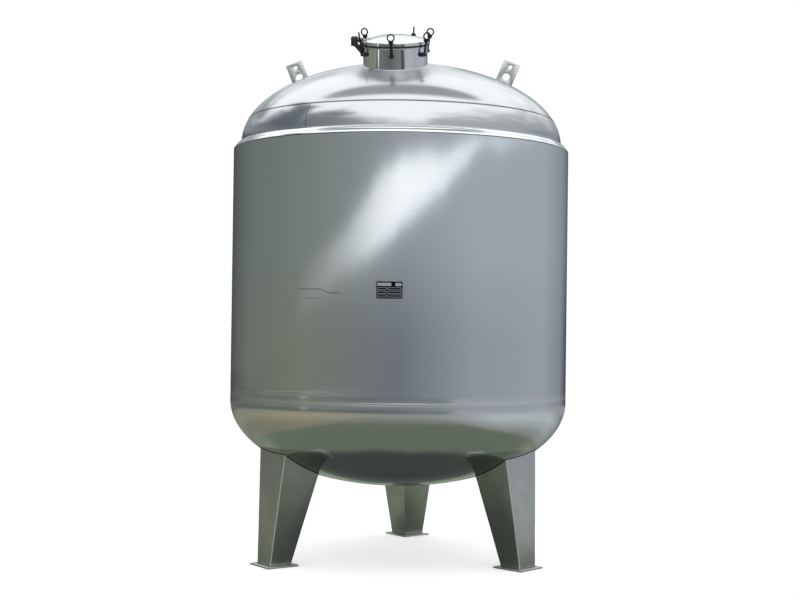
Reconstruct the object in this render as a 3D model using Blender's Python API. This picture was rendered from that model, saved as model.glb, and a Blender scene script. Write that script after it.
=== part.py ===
"""Stainless steel vertical storage tank on three legs, with an insulation jacket and a bolted manway.

Metres, +Z up, origin on the floor under the tank's axis. The front looks towards -Y.
The vessel hangs in its jacket from the closure ring, and the legs stand under the jacket's bottom head.
Angles round the tank and round the manway are counted from the front, towards +X.
"""

from math import asin, atan2, cos, pi, radians, sin, sqrt, tan

import bmesh
import bpy
from mathutils import Matrix, Vector

FIT = 0.0003  # gap left between pieces that touch

# Jacket: the outer shell round the vessel
JACKET_R = 1.100
JACKET_SHEET = 0.005
JACKET_TOP = 2.650
JACKET_TANGENT = 1.020  # where its bottom head starts to curve
HEAD_FLANGE = 0.040  # straight edge of a pressed head
RING_RISE = 0.048  # closure ring, up from the jacket's top to the vessel
RING_FOLD_RISE = 0.020
RING_FOLD_INSET = 0.014
RING_MITRE = 1.4  # how much longer a level cut through the sloping sheet is than its thickness

# Vessel: the inner tank
VESSEL_R = 1.050
VESSEL_PLATE = 0.006
VESSEL_TOP_TANGENT = JACKET_TOP + RING_RISE
VESSEL_BOTTOM_TANGENT = JACKET_TANGENT + 0.025
HEAD_RATIO = 0.5  # depth of a 2:1 elliptical head, as a share of its radius
TRIMMER_DEPTH = 0.4  # how far past its tangent line a head trims what is welded to it

# Manway, on the front slope of the top head and square to it
MANWAY_OFFSET = 0.560
MANWAY_AZIMUTH = -5.1
MANWAY_TWIST = -2.0  # the bolts and the hinge sit this much round the neck
NECK_R = 0.200
NECK_WALL = 0.004
NECK_BOTTOM = -0.035
NECK_TOP = 0.108
FLANGE_R = 0.208
FLANGE_THICK = 0.010
GASKET_R = 0.2055
GASKET_THICK = 0.006
LID_R = 0.2095
LID_RIM_WIDTH = 0.015
LID_RIM_HEIGHT = 0.023
LID_CROWN = 0.034
LID_SHEET = 0.004

# Swing bolts round the manway
BOLT_ANGLES = (0.0, 60.0, 120.0, 157.0, 240.0, 300.0)
BOLT_CIRCLE = 0.2205
BOLT_PIVOT_HEIGHT = 0.070
BOLT_LEAN = 9.5  # slackened bolts lean outwards, off the rim
BOLT_DROP = 100.0  # how far they swing down from upright
BOLT_R = 0.007
BOLT_EYE_R = 0.012
BOLT_EYE_WIDTH = 0.015
BOLT_PIN_R = 0.006
BOLT_PIN_CLEARANCE = 0.0004
PIN_END = 0.003  # how far a pin stands out of its ears
NUT_R = 0.0150
NUT_HEIGHT = 0.016
NUT_THREAD_DEPTH = 0.011
NUT_GRIP = 0.0015  # slack between a nut and the rim when the bolt stands upright
RING_R = 0.0205
RING_WIRE_R = 0.0045
RING_SINK = 0.004  # how deep a ring is let into its nut
RING_TURNS = (7, -28, 67, -60, -29, -23)  # how far each ring is screwed round
BRACKET_EAR = 0.006
BRACKET_GAP = 0.0005
BRACKET_BASE = 0.005
BRACKET_ROOT = 0.013  # half its height on the neck
BRACKET_SHOULDER = 0.011  # half its height over the pin
BRACKET_NOSE = (0.009, 0.0065)  # how far it reaches past the pin, and half its height there

# Lid hinge, on the manway's left
HINGE_ANGLE = 270.0
LID_OPENING = 110.0
HINGE_OUT = 0.255
HINGE_UP = 0.155
HINGE_PIN_R = 0.006
HINGE_EYE_R = 0.013
ARM_WIDTH = 0.040
ARM_THICK = 0.008
ARM_RISE = 0.006  # how much it thickens towards the pin
ARM_OVERLAP = 0.013  # how far the arm lies over the lid's rim
HINGE_FOOT = (0.050, 0.096)  # where the ears meet the neck, up from its seat
HINGE_EAR = 0.006
HINGE_EAR_GAP = 0.0010
HINGE_BLOCK = (0.018, 0.013, 0.043)  # half width of an ear, and its height over and under the pin

# Legs: tapered square boxes that lean in under the bottom head
LEG_AZIMUTHS = {"left": -61.0, "right": 60.0, "back": 174.0}
LEG_FACINGS = {"left": -54.5, "right": 46.0, "back": 127.0}
LEG_CIRCLE = 0.880
LEG_FOOT_SIDE = 0.156
LEG_TOP_SIDE = 0.315
LEG_LEAN_IN = 0.130  # how much nearer the axis the leg's top is than its foot
LEG_TOP = 0.780
LEG_PLATE = 0.008
FOOT_SIDE = 0.222
FOOT_THICK = 0.010

# Lifting lugs, square to the top head
LUG_AZIMUTHS = {"left": -96.0, "right": 84.0}
LUG_OFFSET = 0.666
LUG_WIDTH = 0.112
LUG_HEIGHT = 0.160
LUG_THICK = 0.012
LUG_CORNER = 0.006
LUG_ROOT = 0.020  # how far the blank reaches into the head before it is trimmed to it
LUG_HOLES = ((0.127, 0.0135), (0.058, 0.024))  # height above the head, radius

# Name plate, rolled to the jacket
PLATE_AZIMUTH = -3.8
PLATE_HEIGHT = 1.725
PLATE_SIZE = (0.165, 0.112)
PLATE_THICK = 0.002

# How finely round shapes are faceted
SHELL_STEPS = 52
HEAD_STEPS = 7
HEAD_ANGLES = [pi / 2 * i / HEAD_STEPS for i in range(HEAD_STEPS)]
KNUCKLE_STEPS = 4  # how many of these angles lie on a head's knuckle
SEAM_ANGLE = 1.4 * FIT / VESSEL_R  # leaves the fit between a knuckle and its crown plate
NECK_STEPS = 36
LID_STEPS = 36
CROWN_STEPS = 6
SMALL_STEPS = 12
RING_STEPS = (16, 6)
SMOOTH_ANGLE = radians(35)

FINISHES = {
    "jacket_steel": ((0.46, 0.48, 0.49), 0.22, 1.0),
    "vessel_steel": ((0.62, 0.64, 0.65), 0.16, 1.0),
    "leg_steel": ((0.42, 0.44, 0.43), 0.30, 1.0),
    "manway_steel": ((0.55, 0.57, 0.58), 0.18, 1.0),
    "bolt_steel": ((0.50, 0.51, 0.52), 0.25, 1.0),
    "gasket_rubber": ((0.03, 0.03, 0.03), 0.70, 0.0),
    "name_plate": ((0.05, 0.05, 0.06), 0.40, 0.0),
}


def clear_scene():
    for obj in list(bpy.data.objects):
        bpy.data.objects.remove(obj)


def make_materials():
    made = {}
    for name, (colour, roughness, metallic) in FINISHES.items():
        material = bpy.data.materials.new(name)
        material.use_nodes = True
        shader = material.node_tree.nodes["Principled BSDF"]
        shader.inputs["Base Color"].default_value = (*colour, 1.0)
        shader.inputs["Roughness"].default_value = roughness
        shader.inputs["Metallic"].default_value = metallic
        made[name] = material
    return made


def add_empty(name, location, rotation=(0.0, 0.0, 0.0), parent=None):
    empty = bpy.data.objects.new(name, None)
    empty.location = location
    empty.rotation_euler = rotation
    empty.parent = parent
    bpy.context.scene.collection.objects.link(empty)
    return empty


def add_object(name, bm, finish, parent=None, smooth=True):
    """Makes an object of a bmesh, with its faces pointing out."""
    bmesh.ops.recalc_face_normals(bm, faces=bm.faces)
    mesh = bpy.data.meshes.new(name)
    bm.to_mesh(mesh)
    bm.free()
    if smooth:
        mesh.shade_smooth()
        mesh.set_sharp_from_angle(angle=SMOOTH_ANGLE)
    obj = bpy.data.objects.new(name, mesh)
    obj.parent = parent
    if finish:
        mesh.materials.append(MATERIALS[finish])
    bpy.context.scene.collection.objects.link(obj)
    return obj


def add_cutter(name, bm, parent=None):
    """A helper that only cuts or joins, and isn't part of the tank."""
    cutter = add_object(name, bm, None, parent, smooth=False)
    cutter.hide_render = True
    cutter.display_type = "WIRE"
    return cutter


def boolean(obj, other, operation):
    modifier = obj.modifiers.new(operation.lower() + "_" + other.name, "BOOLEAN")
    modifier.operation = operation
    modifier.object = other
    modifier.solver = "EXACT"


def revolve(points, steps, start=0.0, sweep=2 * pi, closed=True):
    """Spins (radius, height) points about Z. An open line starts and ends on the axis."""
    bm = bmesh.new()
    first = Matrix.Rotation(start, 3, "Z")
    verts = [bm.verts.new(first @ Vector((r, 0.0, z))) for r, z in points]
    pairs = list(zip(verts, verts[1:]))
    if closed:
        pairs.append((verts[-1], verts[0]))
    edges = [bm.edges.new(pair) for pair in pairs]
    bmesh.ops.spin(bm, geom=verts + edges, cent=(0, 0, 0), axis=(0, 0, 1), angle=sweep, steps=steps)
    bmesh.ops.remove_doubles(bm, verts=bm.verts, dist=1e-6)
    rims = [edge for edge in bm.edges if edge.is_boundary]
    if rims:
        bmesh.ops.holes_fill(bm, edges=rims, sides=0)
    return bm


def prism(outline, half_width, bm=None):
    """An outline of (y, z) points, as thick as twice half_width along X."""
    bm = bm or bmesh.new()
    face = bm.faces.new([bm.verts.new((-half_width, y, z)) for y, z in outline])
    extruded = bmesh.ops.extrude_face_region(bm, geom=[face], use_keep_orig=True)
    moved = [v for v in extruded["geom"] if isinstance(v, bmesh.types.BMVert)]
    bmesh.ops.translate(bm, verts=moved, vec=(2 * half_width, 0, 0))
    return bm


def rod(radius, length, steps, axis="Z", centre=(0, 0, 0), bm=None):
    """A round bar along an axis, centred on a point."""
    bm = bm or bmesh.new()
    turn = {"X": Matrix.Rotation(pi / 2, 4, "Y"), "Y": Matrix.Rotation(pi / 2, 4, "X"), "Z": Matrix()}
    place = Matrix.Translation(centre) @ turn[axis]
    bmesh.ops.create_cone(
        bm, cap_ends=True, segments=steps, radius1=radius, radius2=radius, depth=length, matrix=place
    )
    return bm


def elliptic_arc(radius, depth, tangent, sign, angles):
    """Points of an elliptical head at these angles past its tangent line. sign is 1 upwards, -1 downwards."""
    return [(radius * cos(a), tangent + sign * depth * sin(a)) for a in angles]


def elliptic_curve(radius, depth, tangent, sign, first=0.0):
    """Points of an elliptical head from an angle past its tangent line to its crown."""
    later = [a for a in HEAD_ANGLES if a > first]
    return elliptic_arc(radius, depth, tangent, sign, [first] + later) + [(0.0, tangent + sign * depth)]


def head_profile(radius, sheet, tangent, sign):
    """A pressed elliptical head of even sheet, with its straight flange, as an open line from crown to crown."""
    depth = radius * HEAD_RATIO
    flange = tangent - sign * HEAD_FLANGE
    outer = elliptic_curve(radius, depth, tangent, sign)
    inner = elliptic_curve(radius - sheet, depth - sheet, tangent, sign)
    return outer[::-1] + [(radius, flange), (radius - sheet, flange)] + inner


def head_trimmer(name, radius, tangent, sign):
    """The space that a head takes up, a little larger, for trimming what is welded to it."""
    grown = radius + FIT
    points = elliptic_curve(grown, radius * HEAD_RATIO + FIT, tangent, sign)
    far = tangent - sign * TRIMMER_DEPTH
    return add_cutter(name, revolve(points[::-1] + [(grown, far), (0.0, far)], SHELL_STEPS, closed=False))


def shell_band(radius, sheet, low, high):
    return [(radius, low), (radius, high), (radius - sheet, high), (radius - sheet, low)]


def add_half_shells(name, profile, finish, closed=True):
    """A shell made of a front and a back half, with its seams at the left and the right."""
    for side, start, sign in (("front", pi, -1), ("back", 0.0, 1)):
        half = revolve(profile, SHELL_STEPS // 2, start, pi, closed)
        bmesh.ops.translate(half, verts=half.verts, vec=(0, sign * FIT / 2, 0))
        add_object(f"{name}_{side}", half, finish)


def build_jacket():
    flange = JACKET_TANGENT + HEAD_FLANGE
    band = shell_band(JACKET_R, JACKET_SHEET, flange + FIT, JACKET_TOP)
    add_half_shells("jacket_shell", band, "jacket_steel")
    bottom = head_profile(JACKET_R, JACKET_SHEET, JACKET_TANGENT, -1)
    add_half_shells("jacket_bottom_head", bottom, "jacket_steel", closed=False)


def build_closure_ring():
    low = JACKET_TOP + FIT
    inner = VESSEL_R + FIT
    fold_r = JACKET_R - RING_FOLD_INSET
    fold_z = low + RING_FOLD_RISE
    top = VESSEL_TOP_TANGENT
    cut = RING_MITRE * JACKET_SHEET
    profile = [
        (JACKET_R, low),
        (fold_r, fold_z),
        (inner, top),
        (inner, top - cut),
        (fold_r - JACKET_SHEET, fold_z - JACKET_SHEET / 2),
        (JACKET_R - cut, low),
    ]
    add_object("jacket_closure_ring", revolve(profile, SHELL_STEPS), "vessel_steel")


def build_vessel():
    low = VESSEL_BOTTOM_TANGENT + HEAD_FLANGE + FIT
    high = VESSEL_TOP_TANGENT - HEAD_FLANGE - FIT
    add_half_shells("vessel_shell", shell_band(VESSEL_R, VESSEL_PLATE, low, high), "vessel_steel")
    build_vessel_bottom()
    top = head_profile(VESSEL_R, VESSEL_PLATE, VESSEL_TOP_TANGENT, 1)
    return add_object("vessel_top_head", revolve(top, SHELL_STEPS, closed=False), "vessel_steel")


def build_vessel_bottom():
    """The vessel's bottom head, welded from two knuckle halves and a crown plate."""
    inside = VESSEL_R - VESSEL_PLATE
    sizes = ((VESSEL_R, VESSEL_R * HEAD_RATIO), (inside, VESSEL_R * HEAD_RATIO - VESSEL_PLATE))
    flange = VESSEL_BOTTOM_TANGENT + HEAD_FLANGE
    outer, inner = [
        [(radius, flange)] + elliptic_arc(radius, depth, VESSEL_BOTTOM_TANGENT, -1, HEAD_ANGLES[:KNUCKLE_STEPS])
        for radius, depth in sizes
    ]
    add_half_shells("vessel_bottom_knuckle", outer + inner[::-1], "vessel_steel")
    rim = HEAD_ANGLES[KNUCKLE_STEPS - 1] + SEAM_ANGLE
    outer, inner = [elliptic_curve(radius, depth, VESSEL_BOTTOM_TANGENT, -1, rim) for radius, depth in sizes]
    add_object("vessel_bottom_crown", revolve(outer[::-1] + inner, SHELL_STEPS, closed=False), "vessel_steel")


def top_head_height(offset):
    """Height of the top head's outer face at a distance from the tank's axis."""
    return VESSEL_TOP_TANGENT + HEAD_RATIO * sqrt(VESSEL_R**2 - offset**2)


def top_head_slope(offset):
    """Slope of the top head there, as an angle down from level."""
    return atan2(HEAD_RATIO * offset, sqrt(VESSEL_R**2 - offset**2))


def add_manway_frame():
    """An empty where the neck's axis meets the head: its Z leaves the head squarely, its -Y runs downhill."""
    azimuth = radians(MANWAY_AZIMUTH)
    place = (
        MANWAY_OFFSET * sin(azimuth),
        -MANWAY_OFFSET * cos(azimuth),
        top_head_height(MANWAY_OFFSET),
    )
    seat = add_empty("manway_seat", place, (top_head_slope(MANWAY_OFFSET), 0.0, azimuth))
    return add_empty("manway_frame", (0.0, 0.0, 0.0), (0.0, 0.0, radians(MANWAY_TWIST)), seat)


def build_neck(frame, top_head):
    bore = NECK_R - NECK_WALL
    add_object("manway_neck", revolve(shell_band(NECK_R, NECK_WALL, NECK_BOTTOM, NECK_TOP), NECK_STEPS),
               "manway_steel", frame)
    hole = add_cutter("manway_hole", rod(NECK_R + 2 * FIT, 0.4, NECK_STEPS), frame)
    boolean(top_head, hole, "DIFFERENCE")
    low = NECK_TOP + FIT
    flange = shell_band(FLANGE_R, FLANGE_R - bore, low, low + FLANGE_THICK)
    add_object("manway_flange", revolve(flange, NECK_STEPS), "manway_steel", frame)
    low += FLANGE_THICK + FIT
    gasket = shell_band(GASKET_R, GASKET_R - bore, low, low + GASKET_THICK)
    add_object("manway_gasket", revolve(gasket, NECK_STEPS), "gasket_rubber", frame)
    return low + GASKET_THICK + FIT


def lid_profile(low):
    """A dished cover on a thick rim, as an open line from crown to crown."""
    high = low + LID_RIM_HEIGHT
    inside = LID_R - LID_RIM_WIDTH
    crown_r = (inside**2 + LID_CROWN**2) / (2 * LID_CROWN)
    half_angle = asin(inside / crown_r)
    dish = [half_angle * i / CROWN_STEPS for i in range(CROWN_STEPS + 1)]
    centre = high + LID_CROWN - crown_r
    outer = [(crown_r * sin(a), centre + crown_r * cos(a)) for a in dish]
    thin = crown_r - LID_SHEET
    inner = [(thin * sin(a), centre + thin * cos(a)) for a in dish[:-1]]
    return outer + [(LID_R, high), (LID_R, low), (inside, low)] + inner[::-1]


def build_lid(hinge, low):
    """The lid and its hinge arm. They hang on the hinge's empty."""
    to_hinge = hinge.matrix_basis.inverted()
    high = low + LID_RIM_HEIGHT
    lid = add_object("manway_lid", revolve(lid_profile(low), LID_STEPS, closed=False), "manway_steel", hinge)
    lid.matrix_parent_inverse = to_hinge
    build_hinge_arm(hinge, high)


def build_hinge_arm(hinge, rim_top):
    """A bar from the lid's rim to the hinge pin, in the hinge's own frame: +Y points to the lid."""
    drop = rim_top + FIT - HINGE_UP
    reach = HINGE_OUT - LID_R + ARM_OVERLAP
    half_eye = HINGE_EYE_R * 0.6
    outline = [
        (reach, drop),
        (reach, drop + ARM_THICK),
        (half_eye, drop + ARM_THICK + ARM_RISE),
        (half_eye, drop),
    ]
    arm = add_object("lid_hinge_arm", prism(outline, ARM_WIDTH / 2), "manway_steel", hinge)
    eye = add_cutter("hinge_eye", rod(HINGE_EYE_R, ARM_WIDTH, SMALL_STEPS, "X"), hinge)
    bore = add_cutter(
        "hinge_bore", rod(HINGE_PIN_R + BOLT_PIN_CLEARANCE, 2 * ARM_WIDTH, SMALL_STEPS, "X"), hinge
    )
    boolean(arm, eye, "UNION")
    boolean(arm, bore, "DIFFERENCE")


def build_hinge_bracket(frame):
    """Two ears on the neck and the pin between them, in a frame of their own on the pin."""
    inside = ARM_WIDTH / 2 + HINGE_EAR_GAP
    wall = HINGE_OUT - neck_side(inside) - FIT
    half_wide, over, under = HINGE_BLOCK
    foot_low, foot_high = HINGE_FOOT
    outline = [
        (wall, foot_low - HINGE_UP),
        (wall, foot_high - HINGE_UP),
        (half_wide, -under + half_wide / 2),
        (half_wide, over),
        (-half_wide, over),
        (-half_wide, -under),
        (0.0, -under),
    ]
    seat = add_empty("hinge_seat", hinge_place(), (0.0, 0.0, radians(HINGE_ANGLE)), frame)
    bm = bmesh.new()
    for side in (-1, 1):
        before = set(bm.verts)
        prism(outline, HINGE_EAR / 2, bm)
        ear = [v for v in bm.verts if v not in before]
        bmesh.ops.translate(bm, verts=ear, vec=(side * (inside + HINGE_EAR / 2), 0, 0))
    bracket = add_object("hinge_bracket", bm, "manway_steel", seat, smooth=False)
    pin_length = 2 * (inside + HINGE_EAR + PIN_END)
    pin = add_cutter("hinge_pin_rod", rod(HINGE_PIN_R, pin_length, SMALL_STEPS, "X"), seat)
    boolean(bracket, pin, "UNION")


def neck_side(across):
    """Distance from the neck's axis to its faceted wall, at a distance sideways from one of its edges."""
    return NECK_R - across * tan(pi / NECK_STEPS)


def hinge_place():
    angle = radians(HINGE_ANGLE)
    return (HINGE_OUT * sin(angle), -HINGE_OUT * cos(angle), HINGE_UP)


def build_bolt(frame, number, angle, rim_top):
    """One swing bolt with its eye nut, and the bracket that carries it on the neck."""
    place = (BOLT_CIRCLE * sin(angle), -BOLT_CIRCLE * cos(angle), BOLT_PIVOT_HEIGHT)
    seat = add_empty(f"bracket_seat_{number}", place, (0.0, 0.0, angle), frame)
    build_bracket(seat, number)
    swing = add_empty(f"bolt_swing_{number}", place, (radians(BOLT_LEAN), 0.0, angle), frame)
    nut_low = rim_top - BOLT_PIVOT_HEIGHT + NUT_GRIP
    shank_top = nut_low + NUT_THREAD_DEPTH - FIT
    shank = rod(BOLT_R, shank_top, SMALL_STEPS, "Z", (0, 0, shank_top / 2))
    bolt = add_object(f"swing_bolt_{number}", shank, "bolt_steel", swing)
    eye = add_cutter(f"bolt_eye_{number}", rod(BOLT_EYE_R, BOLT_EYE_WIDTH, SMALL_STEPS, "X"), swing)
    bore_r = BOLT_PIN_R + BOLT_PIN_CLEARANCE
    bore = add_cutter(f"bolt_bore_{number}", rod(bore_r, 2 * BOLT_EYE_WIDTH, SMALL_STEPS, "X"), swing)
    boolean(bolt, eye, "UNION")
    boolean(bolt, bore, "DIFFERENCE")
    build_eye_nut(swing, number, nut_low)


def build_bracket(seat, number):
    """A clevis: a base on the neck, two ears beside the bolt's eye, and the pin through them."""
    inside = BOLT_EYE_WIDTH / 2 + BRACKET_GAP
    half = inside + BRACKET_EAR
    neck = BOLT_CIRCLE - NECK_R - FIT
    outline = [
        (neck, -BRACKET_ROOT),
        (neck, BRACKET_ROOT),
        (0.0, BRACKET_SHOULDER),
        (-BRACKET_NOSE[0], BRACKET_NOSE[1]),
        (-BRACKET_NOSE[0], -BRACKET_NOSE[1]),
        (0.0, -BRACKET_SHOULDER),
    ]
    bracket = add_object(f"bolt_bracket_{number}", prism(outline, half), "manway_steel", seat, smooth=False)
    reach = neck - BRACKET_BASE
    slot_half = 2 * BRACKET_ROOT
    slot_outline = [(reach, -slot_half), (reach, slot_half), (-reach, slot_half), (-reach, -slot_half)]
    slot = add_cutter(f"bracket_slot_{number}", prism(slot_outline, inside), seat)
    pin_length = 2 * (half + PIN_END)
    pin = add_cutter(f"bracket_pin_{number}", rod(BOLT_PIN_R, pin_length, SMALL_STEPS, "X"), seat)
    boolean(bracket, slot, "DIFFERENCE")
    boolean(bracket, pin, "UNION")


def build_eye_nut(swing, number, low):
    """A round collar with a blind thread, under a lifting ring."""
    bore = BOLT_R + FIT
    high = low + NUT_HEIGHT
    thread_end = low + NUT_THREAD_DEPTH
    profile = [(0.0, high), (NUT_R, high), (NUT_R, low), (bore, low), (bore, thread_end), (0.0, thread_end)]
    nut = add_object(f"eye_nut_{number}", revolve(profile, SMALL_STEPS, closed=False), "bolt_steel", swing)
    major, minor = RING_STEPS
    wire = [
        (RING_R + RING_WIRE_R * cos(2 * pi * i / minor), RING_WIRE_R * sin(2 * pi * i / minor))
        for i in range(minor)
    ]
    ring = add_cutter(f"nut_ring_{number}", revolve(wire, major), swing)
    ring.rotation_euler = (pi / 2, 0.0, radians(RING_TURNS[number - 1]))
    ring.location.z = high + RING_R + RING_WIRE_R - RING_SINK
    boolean(nut, ring, "UNION")


def build_manway(top_head):
    frame = add_manway_frame()
    low = build_neck(frame, top_head)
    hinge = add_empty("lid_hinge", hinge_place(), (0.0, 0.0, radians(HINGE_ANGLE)), frame)
    bpy.context.view_layer.update()
    build_lid(hinge, low)
    build_hinge_bracket(frame)
    for index, angle in enumerate(BOLT_ANGLES):
        build_bolt(frame, index + 1, radians(angle), low + LID_RIM_HEIGHT)


def leg_tube():
    """A tapered square tube with open ends, leaning towards the tank's axis (+Y) as it rises."""
    bm = bmesh.new()
    rings = []
    for inset in (0.0, LEG_PLATE):
        for side, lean, z in (
            (LEG_FOOT_SIDE, 0.0, FOOT_THICK + FIT),
            (LEG_TOP_SIDE, LEG_LEAN_IN, LEG_TOP),
        ):
            half = side / 2 - inset
            corners = [(-half, -half), (half, -half), (half, half), (-half, half)]
            rings.append((lean, z, corners))
    return bm, rings


def build_leg(place, trimmer):
    """One leg and its foot plate. The box faces one way and leans another, straight to the axis."""
    azimuth = radians(LEG_AZIMUTHS[place])
    facing = radians(LEG_FACINGS[place])
    foot = Vector((LEG_CIRCLE * sin(azimuth), -LEG_CIRCLE * cos(azimuth), 0.0))
    inwards = -foot.normalized()
    turn = Matrix.Rotation(facing, 3, "Z")
    bm, rings = leg_tube()
    loops = []
    for lean, z, corners in rings:
        centre = foot + inwards * lean
        loops.append([bm.verts.new(centre + turn @ Vector((x, y, 0)) + Vector((0, 0, z))) for x, y in corners])
    outer_low, outer_high, inner_low, inner_high = loops
    for first, second in (
        (outer_low, outer_high),
        (outer_high, inner_high),
        (inner_high, inner_low),
        (inner_low, outer_low),
    ):
        for i in range(4):
            j = (i + 1) % 4
            bm.faces.new((first[i], first[j], second[j], second[i]))
    leg = add_object(f"leg_{place}", bm, "leg_steel", smooth=False)
    boolean(leg, trimmer, "DIFFERENCE")
    plate = bmesh.new()
    bmesh.ops.create_cube(plate, size=1.0, matrix=Matrix.Diagonal((FOOT_SIDE, FOOT_SIDE, FOOT_THICK, 1.0)))
    plate = add_object(f"foot_plate_{place}", plate, "leg_steel", smooth=False)
    plate.location = foot + Vector((0, 0, FOOT_THICK / 2))
    plate.rotation_euler.z = facing


def build_legs():
    trimmer = head_trimmer("bottom_head_trimmer", JACKET_R, JACKET_TANGENT, -1)
    for place in LEG_AZIMUTHS:
        build_leg(place, trimmer)


def build_lugs():
    """Two lifting lugs, each a plate that points to the tank's axis and is trimmed to the head."""
    trimmer = head_trimmer("top_head_trimmer", VESSEL_R, VESSEL_TOP_TANGENT, 1)
    half = LUG_WIDTH / 2
    corner = LUG_CORNER
    outline = [
        (-half, -LUG_ROOT),
        (-half, LUG_HEIGHT - corner),
        (-half + corner, LUG_HEIGHT),
        (half - corner, LUG_HEIGHT),
        (half, LUG_HEIGHT - corner),
        (half, -LUG_ROOT),
    ]
    for name, degrees in LUG_AZIMUTHS.items():
        azimuth = radians(degrees)
        place = (LUG_OFFSET * sin(azimuth), -LUG_OFFSET * cos(azimuth), top_head_height(LUG_OFFSET))
        frame = add_empty(f"lug_frame_{name}", place, (top_head_slope(LUG_OFFSET), 0.0, azimuth))
        lug = prism(outline, LUG_THICK / 2)
        lug = add_object(f"lifting_lug_{name}", lug, "leg_steel", frame, smooth=False)
        boolean(lug, trimmer, "DIFFERENCE")
        for number, (height, radius) in enumerate(LUG_HOLES):
            drill = rod(radius, 4 * LUG_THICK, 16, "X", (0, 0, height))
            boolean(lug, add_cutter(f"lug_drill_{name}_{number}", drill, frame), "DIFFERENCE")


def build_name_plate():
    low = PLATE_HEIGHT - PLATE_SIZE[1] / 2
    sweep = PLATE_SIZE[0] / JACKET_R
    start = -pi / 2 + radians(PLATE_AZIMUTH) - sweep / 2
    back = JACKET_R + 2 * FIT
    band = shell_band(back + PLATE_THICK, PLATE_THICK, low, low + PLATE_SIZE[1])
    add_object("name_plate", revolve(band, 4, start, sweep), "name_plate")


clear_scene()
MATERIALS = make_materials()
build_jacket()
build_closure_ring()
build_manway(build_vessel())
build_legs()
build_lugs()
build_name_plate()
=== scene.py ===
"""Dresses the upright stainless storage tank: insulation jacket, vessel, bolted manway, lugs and legs.

Each sub-assembly is a class. Its fields hold its sizes in metres, and its methods build its pieces, give them
their finish and say which body they ride on. The finishes stand first, then the shop's tools, then the tank.
"""
import logging
from contextlib import contextmanager
from dataclasses import dataclass
from enum import Enum
from functools import partial
from math import acos, asin, atan2, cos, pi, radians, sin, sqrt
from typing import Callable, Iterator, Sequence

import bmesh
import bpy
from bpy.types import Material, Node, NodeSocket, NodeTree, Object
from mathutils import Matrix, Vector


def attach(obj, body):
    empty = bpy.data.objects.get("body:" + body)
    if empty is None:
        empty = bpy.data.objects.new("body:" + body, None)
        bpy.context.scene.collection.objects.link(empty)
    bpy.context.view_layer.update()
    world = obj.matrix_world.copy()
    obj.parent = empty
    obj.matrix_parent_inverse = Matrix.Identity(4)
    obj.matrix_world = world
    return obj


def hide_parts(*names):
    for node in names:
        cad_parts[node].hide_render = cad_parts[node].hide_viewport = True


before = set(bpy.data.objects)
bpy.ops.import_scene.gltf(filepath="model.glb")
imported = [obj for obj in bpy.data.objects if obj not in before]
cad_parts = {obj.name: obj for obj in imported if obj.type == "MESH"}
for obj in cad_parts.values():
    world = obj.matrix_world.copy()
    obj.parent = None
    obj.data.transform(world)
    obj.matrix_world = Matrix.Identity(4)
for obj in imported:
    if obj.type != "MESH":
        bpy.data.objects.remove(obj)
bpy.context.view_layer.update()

FIT = 0.0003
MILLIMETRE = 0.001
BEAD = 0.0035  # a weld bead's radius
SMOOTH = {"interpolation_type": "SMOOTHSTEP"}
COLOURS = {"data_type": "RGBA"}
TINT = {"data_type": "RGBA", "blend_type": "MULTIPLY"}

Outline = Sequence[tuple[float, float]]
Stops = Sequence[tuple[float, object]]
Inputs = dict[str, object] | Sequence[object]
Links = dict[str, object]
Adder = Callable[..., Node]

log = logging.getLogger("tank")


class Body(Enum):
    """What a piece moves with."""

    TANK = "tank"
    LID = "lid"


class Slot(Enum):
    """The material slots of the record."""

    JACKET = "jacket_steel"
    VESSEL = "vessel_steel"
    LEG = "leg_steel"
    MANWAY = "manway_steel"
    BOLT = "bolt_steel"
    GASKET = "gasket_rubber"
    PLATE = "name_plate"


class Head(Enum):
    """Which end of a vessel an elliptical head closes, as the sign of its depth."""

    TOP = 1
    BOTTOM = -1


# Colour and shader nodes


def linear(code: str) -> tuple[float, float, float, float]:
    """Turns an sRGB hex colour to linear light.

    Args:
        code: six hex digits after a hash sign.

    Returns:
        Red, green, blue and an alpha of 1.
    """
    parts = [int(code[i : i + 2], 16) / 255 for i in (1, 3, 5)]
    red, green, blue = (c / 12.92 if c <= 0.04045 else ((c + 0.055) / 1.055) ** 2.4 for c in parts)
    return (red, green, blue, 1.0)


def plug(node: Node, inputs: Inputs) -> Node:
    """Sets or links a node's inputs.

    Args:
        node: the node.
        inputs: a number, vector, hex colour, socket or node for each, by name, or in order for those in use.
            A node gives its first output in use.

    Returns:
        The same node.
    """
    pairs = zip([socket for socket in node.inputs if socket.enabled], inputs)
    if isinstance(inputs, dict):
        pairs = [(node.inputs[name], value) for name, value in inputs.items()]
    for socket, value in pairs:
        if isinstance(value, Node):
            value = next(output for output in value.outputs if output.enabled)
        if isinstance(value, NodeSocket):
            node.id_data.links.new(value, socket)
        else:
            socket.default_value = linear(value) if isinstance(value, str) else value
    return node


def add_node(tree: NodeTree, kind: str, inputs: Inputs = (), **settings: object) -> Node:
    """Adds a shader node with its settings and links.

    Args:
        tree: the node tree that gets it.
        kind: the node's type, without its first word, ShaderNode.
        inputs: what goes into it, as plug takes them.
        settings: the node's own settings. Here stops are a ramp's (position, grey value or hex colour).

    Returns:
        The new node.
    """
    node = tree.nodes.new(f"ShaderNode{kind}")
    stops = settings.pop("stops", ())
    for key, value in settings.items():
        setattr(node, key, value)
    if stops:
        elements = node.color_ramp.elements
        while len(elements) < len(stops):
            elements.new(1.0)
        for element, (position, value) in zip(elements, stops):
            element.position = position
            element.color = linear(value) if isinstance(value, str) else (value, value, value, 1.0)
    return plug(node, inputs)


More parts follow.
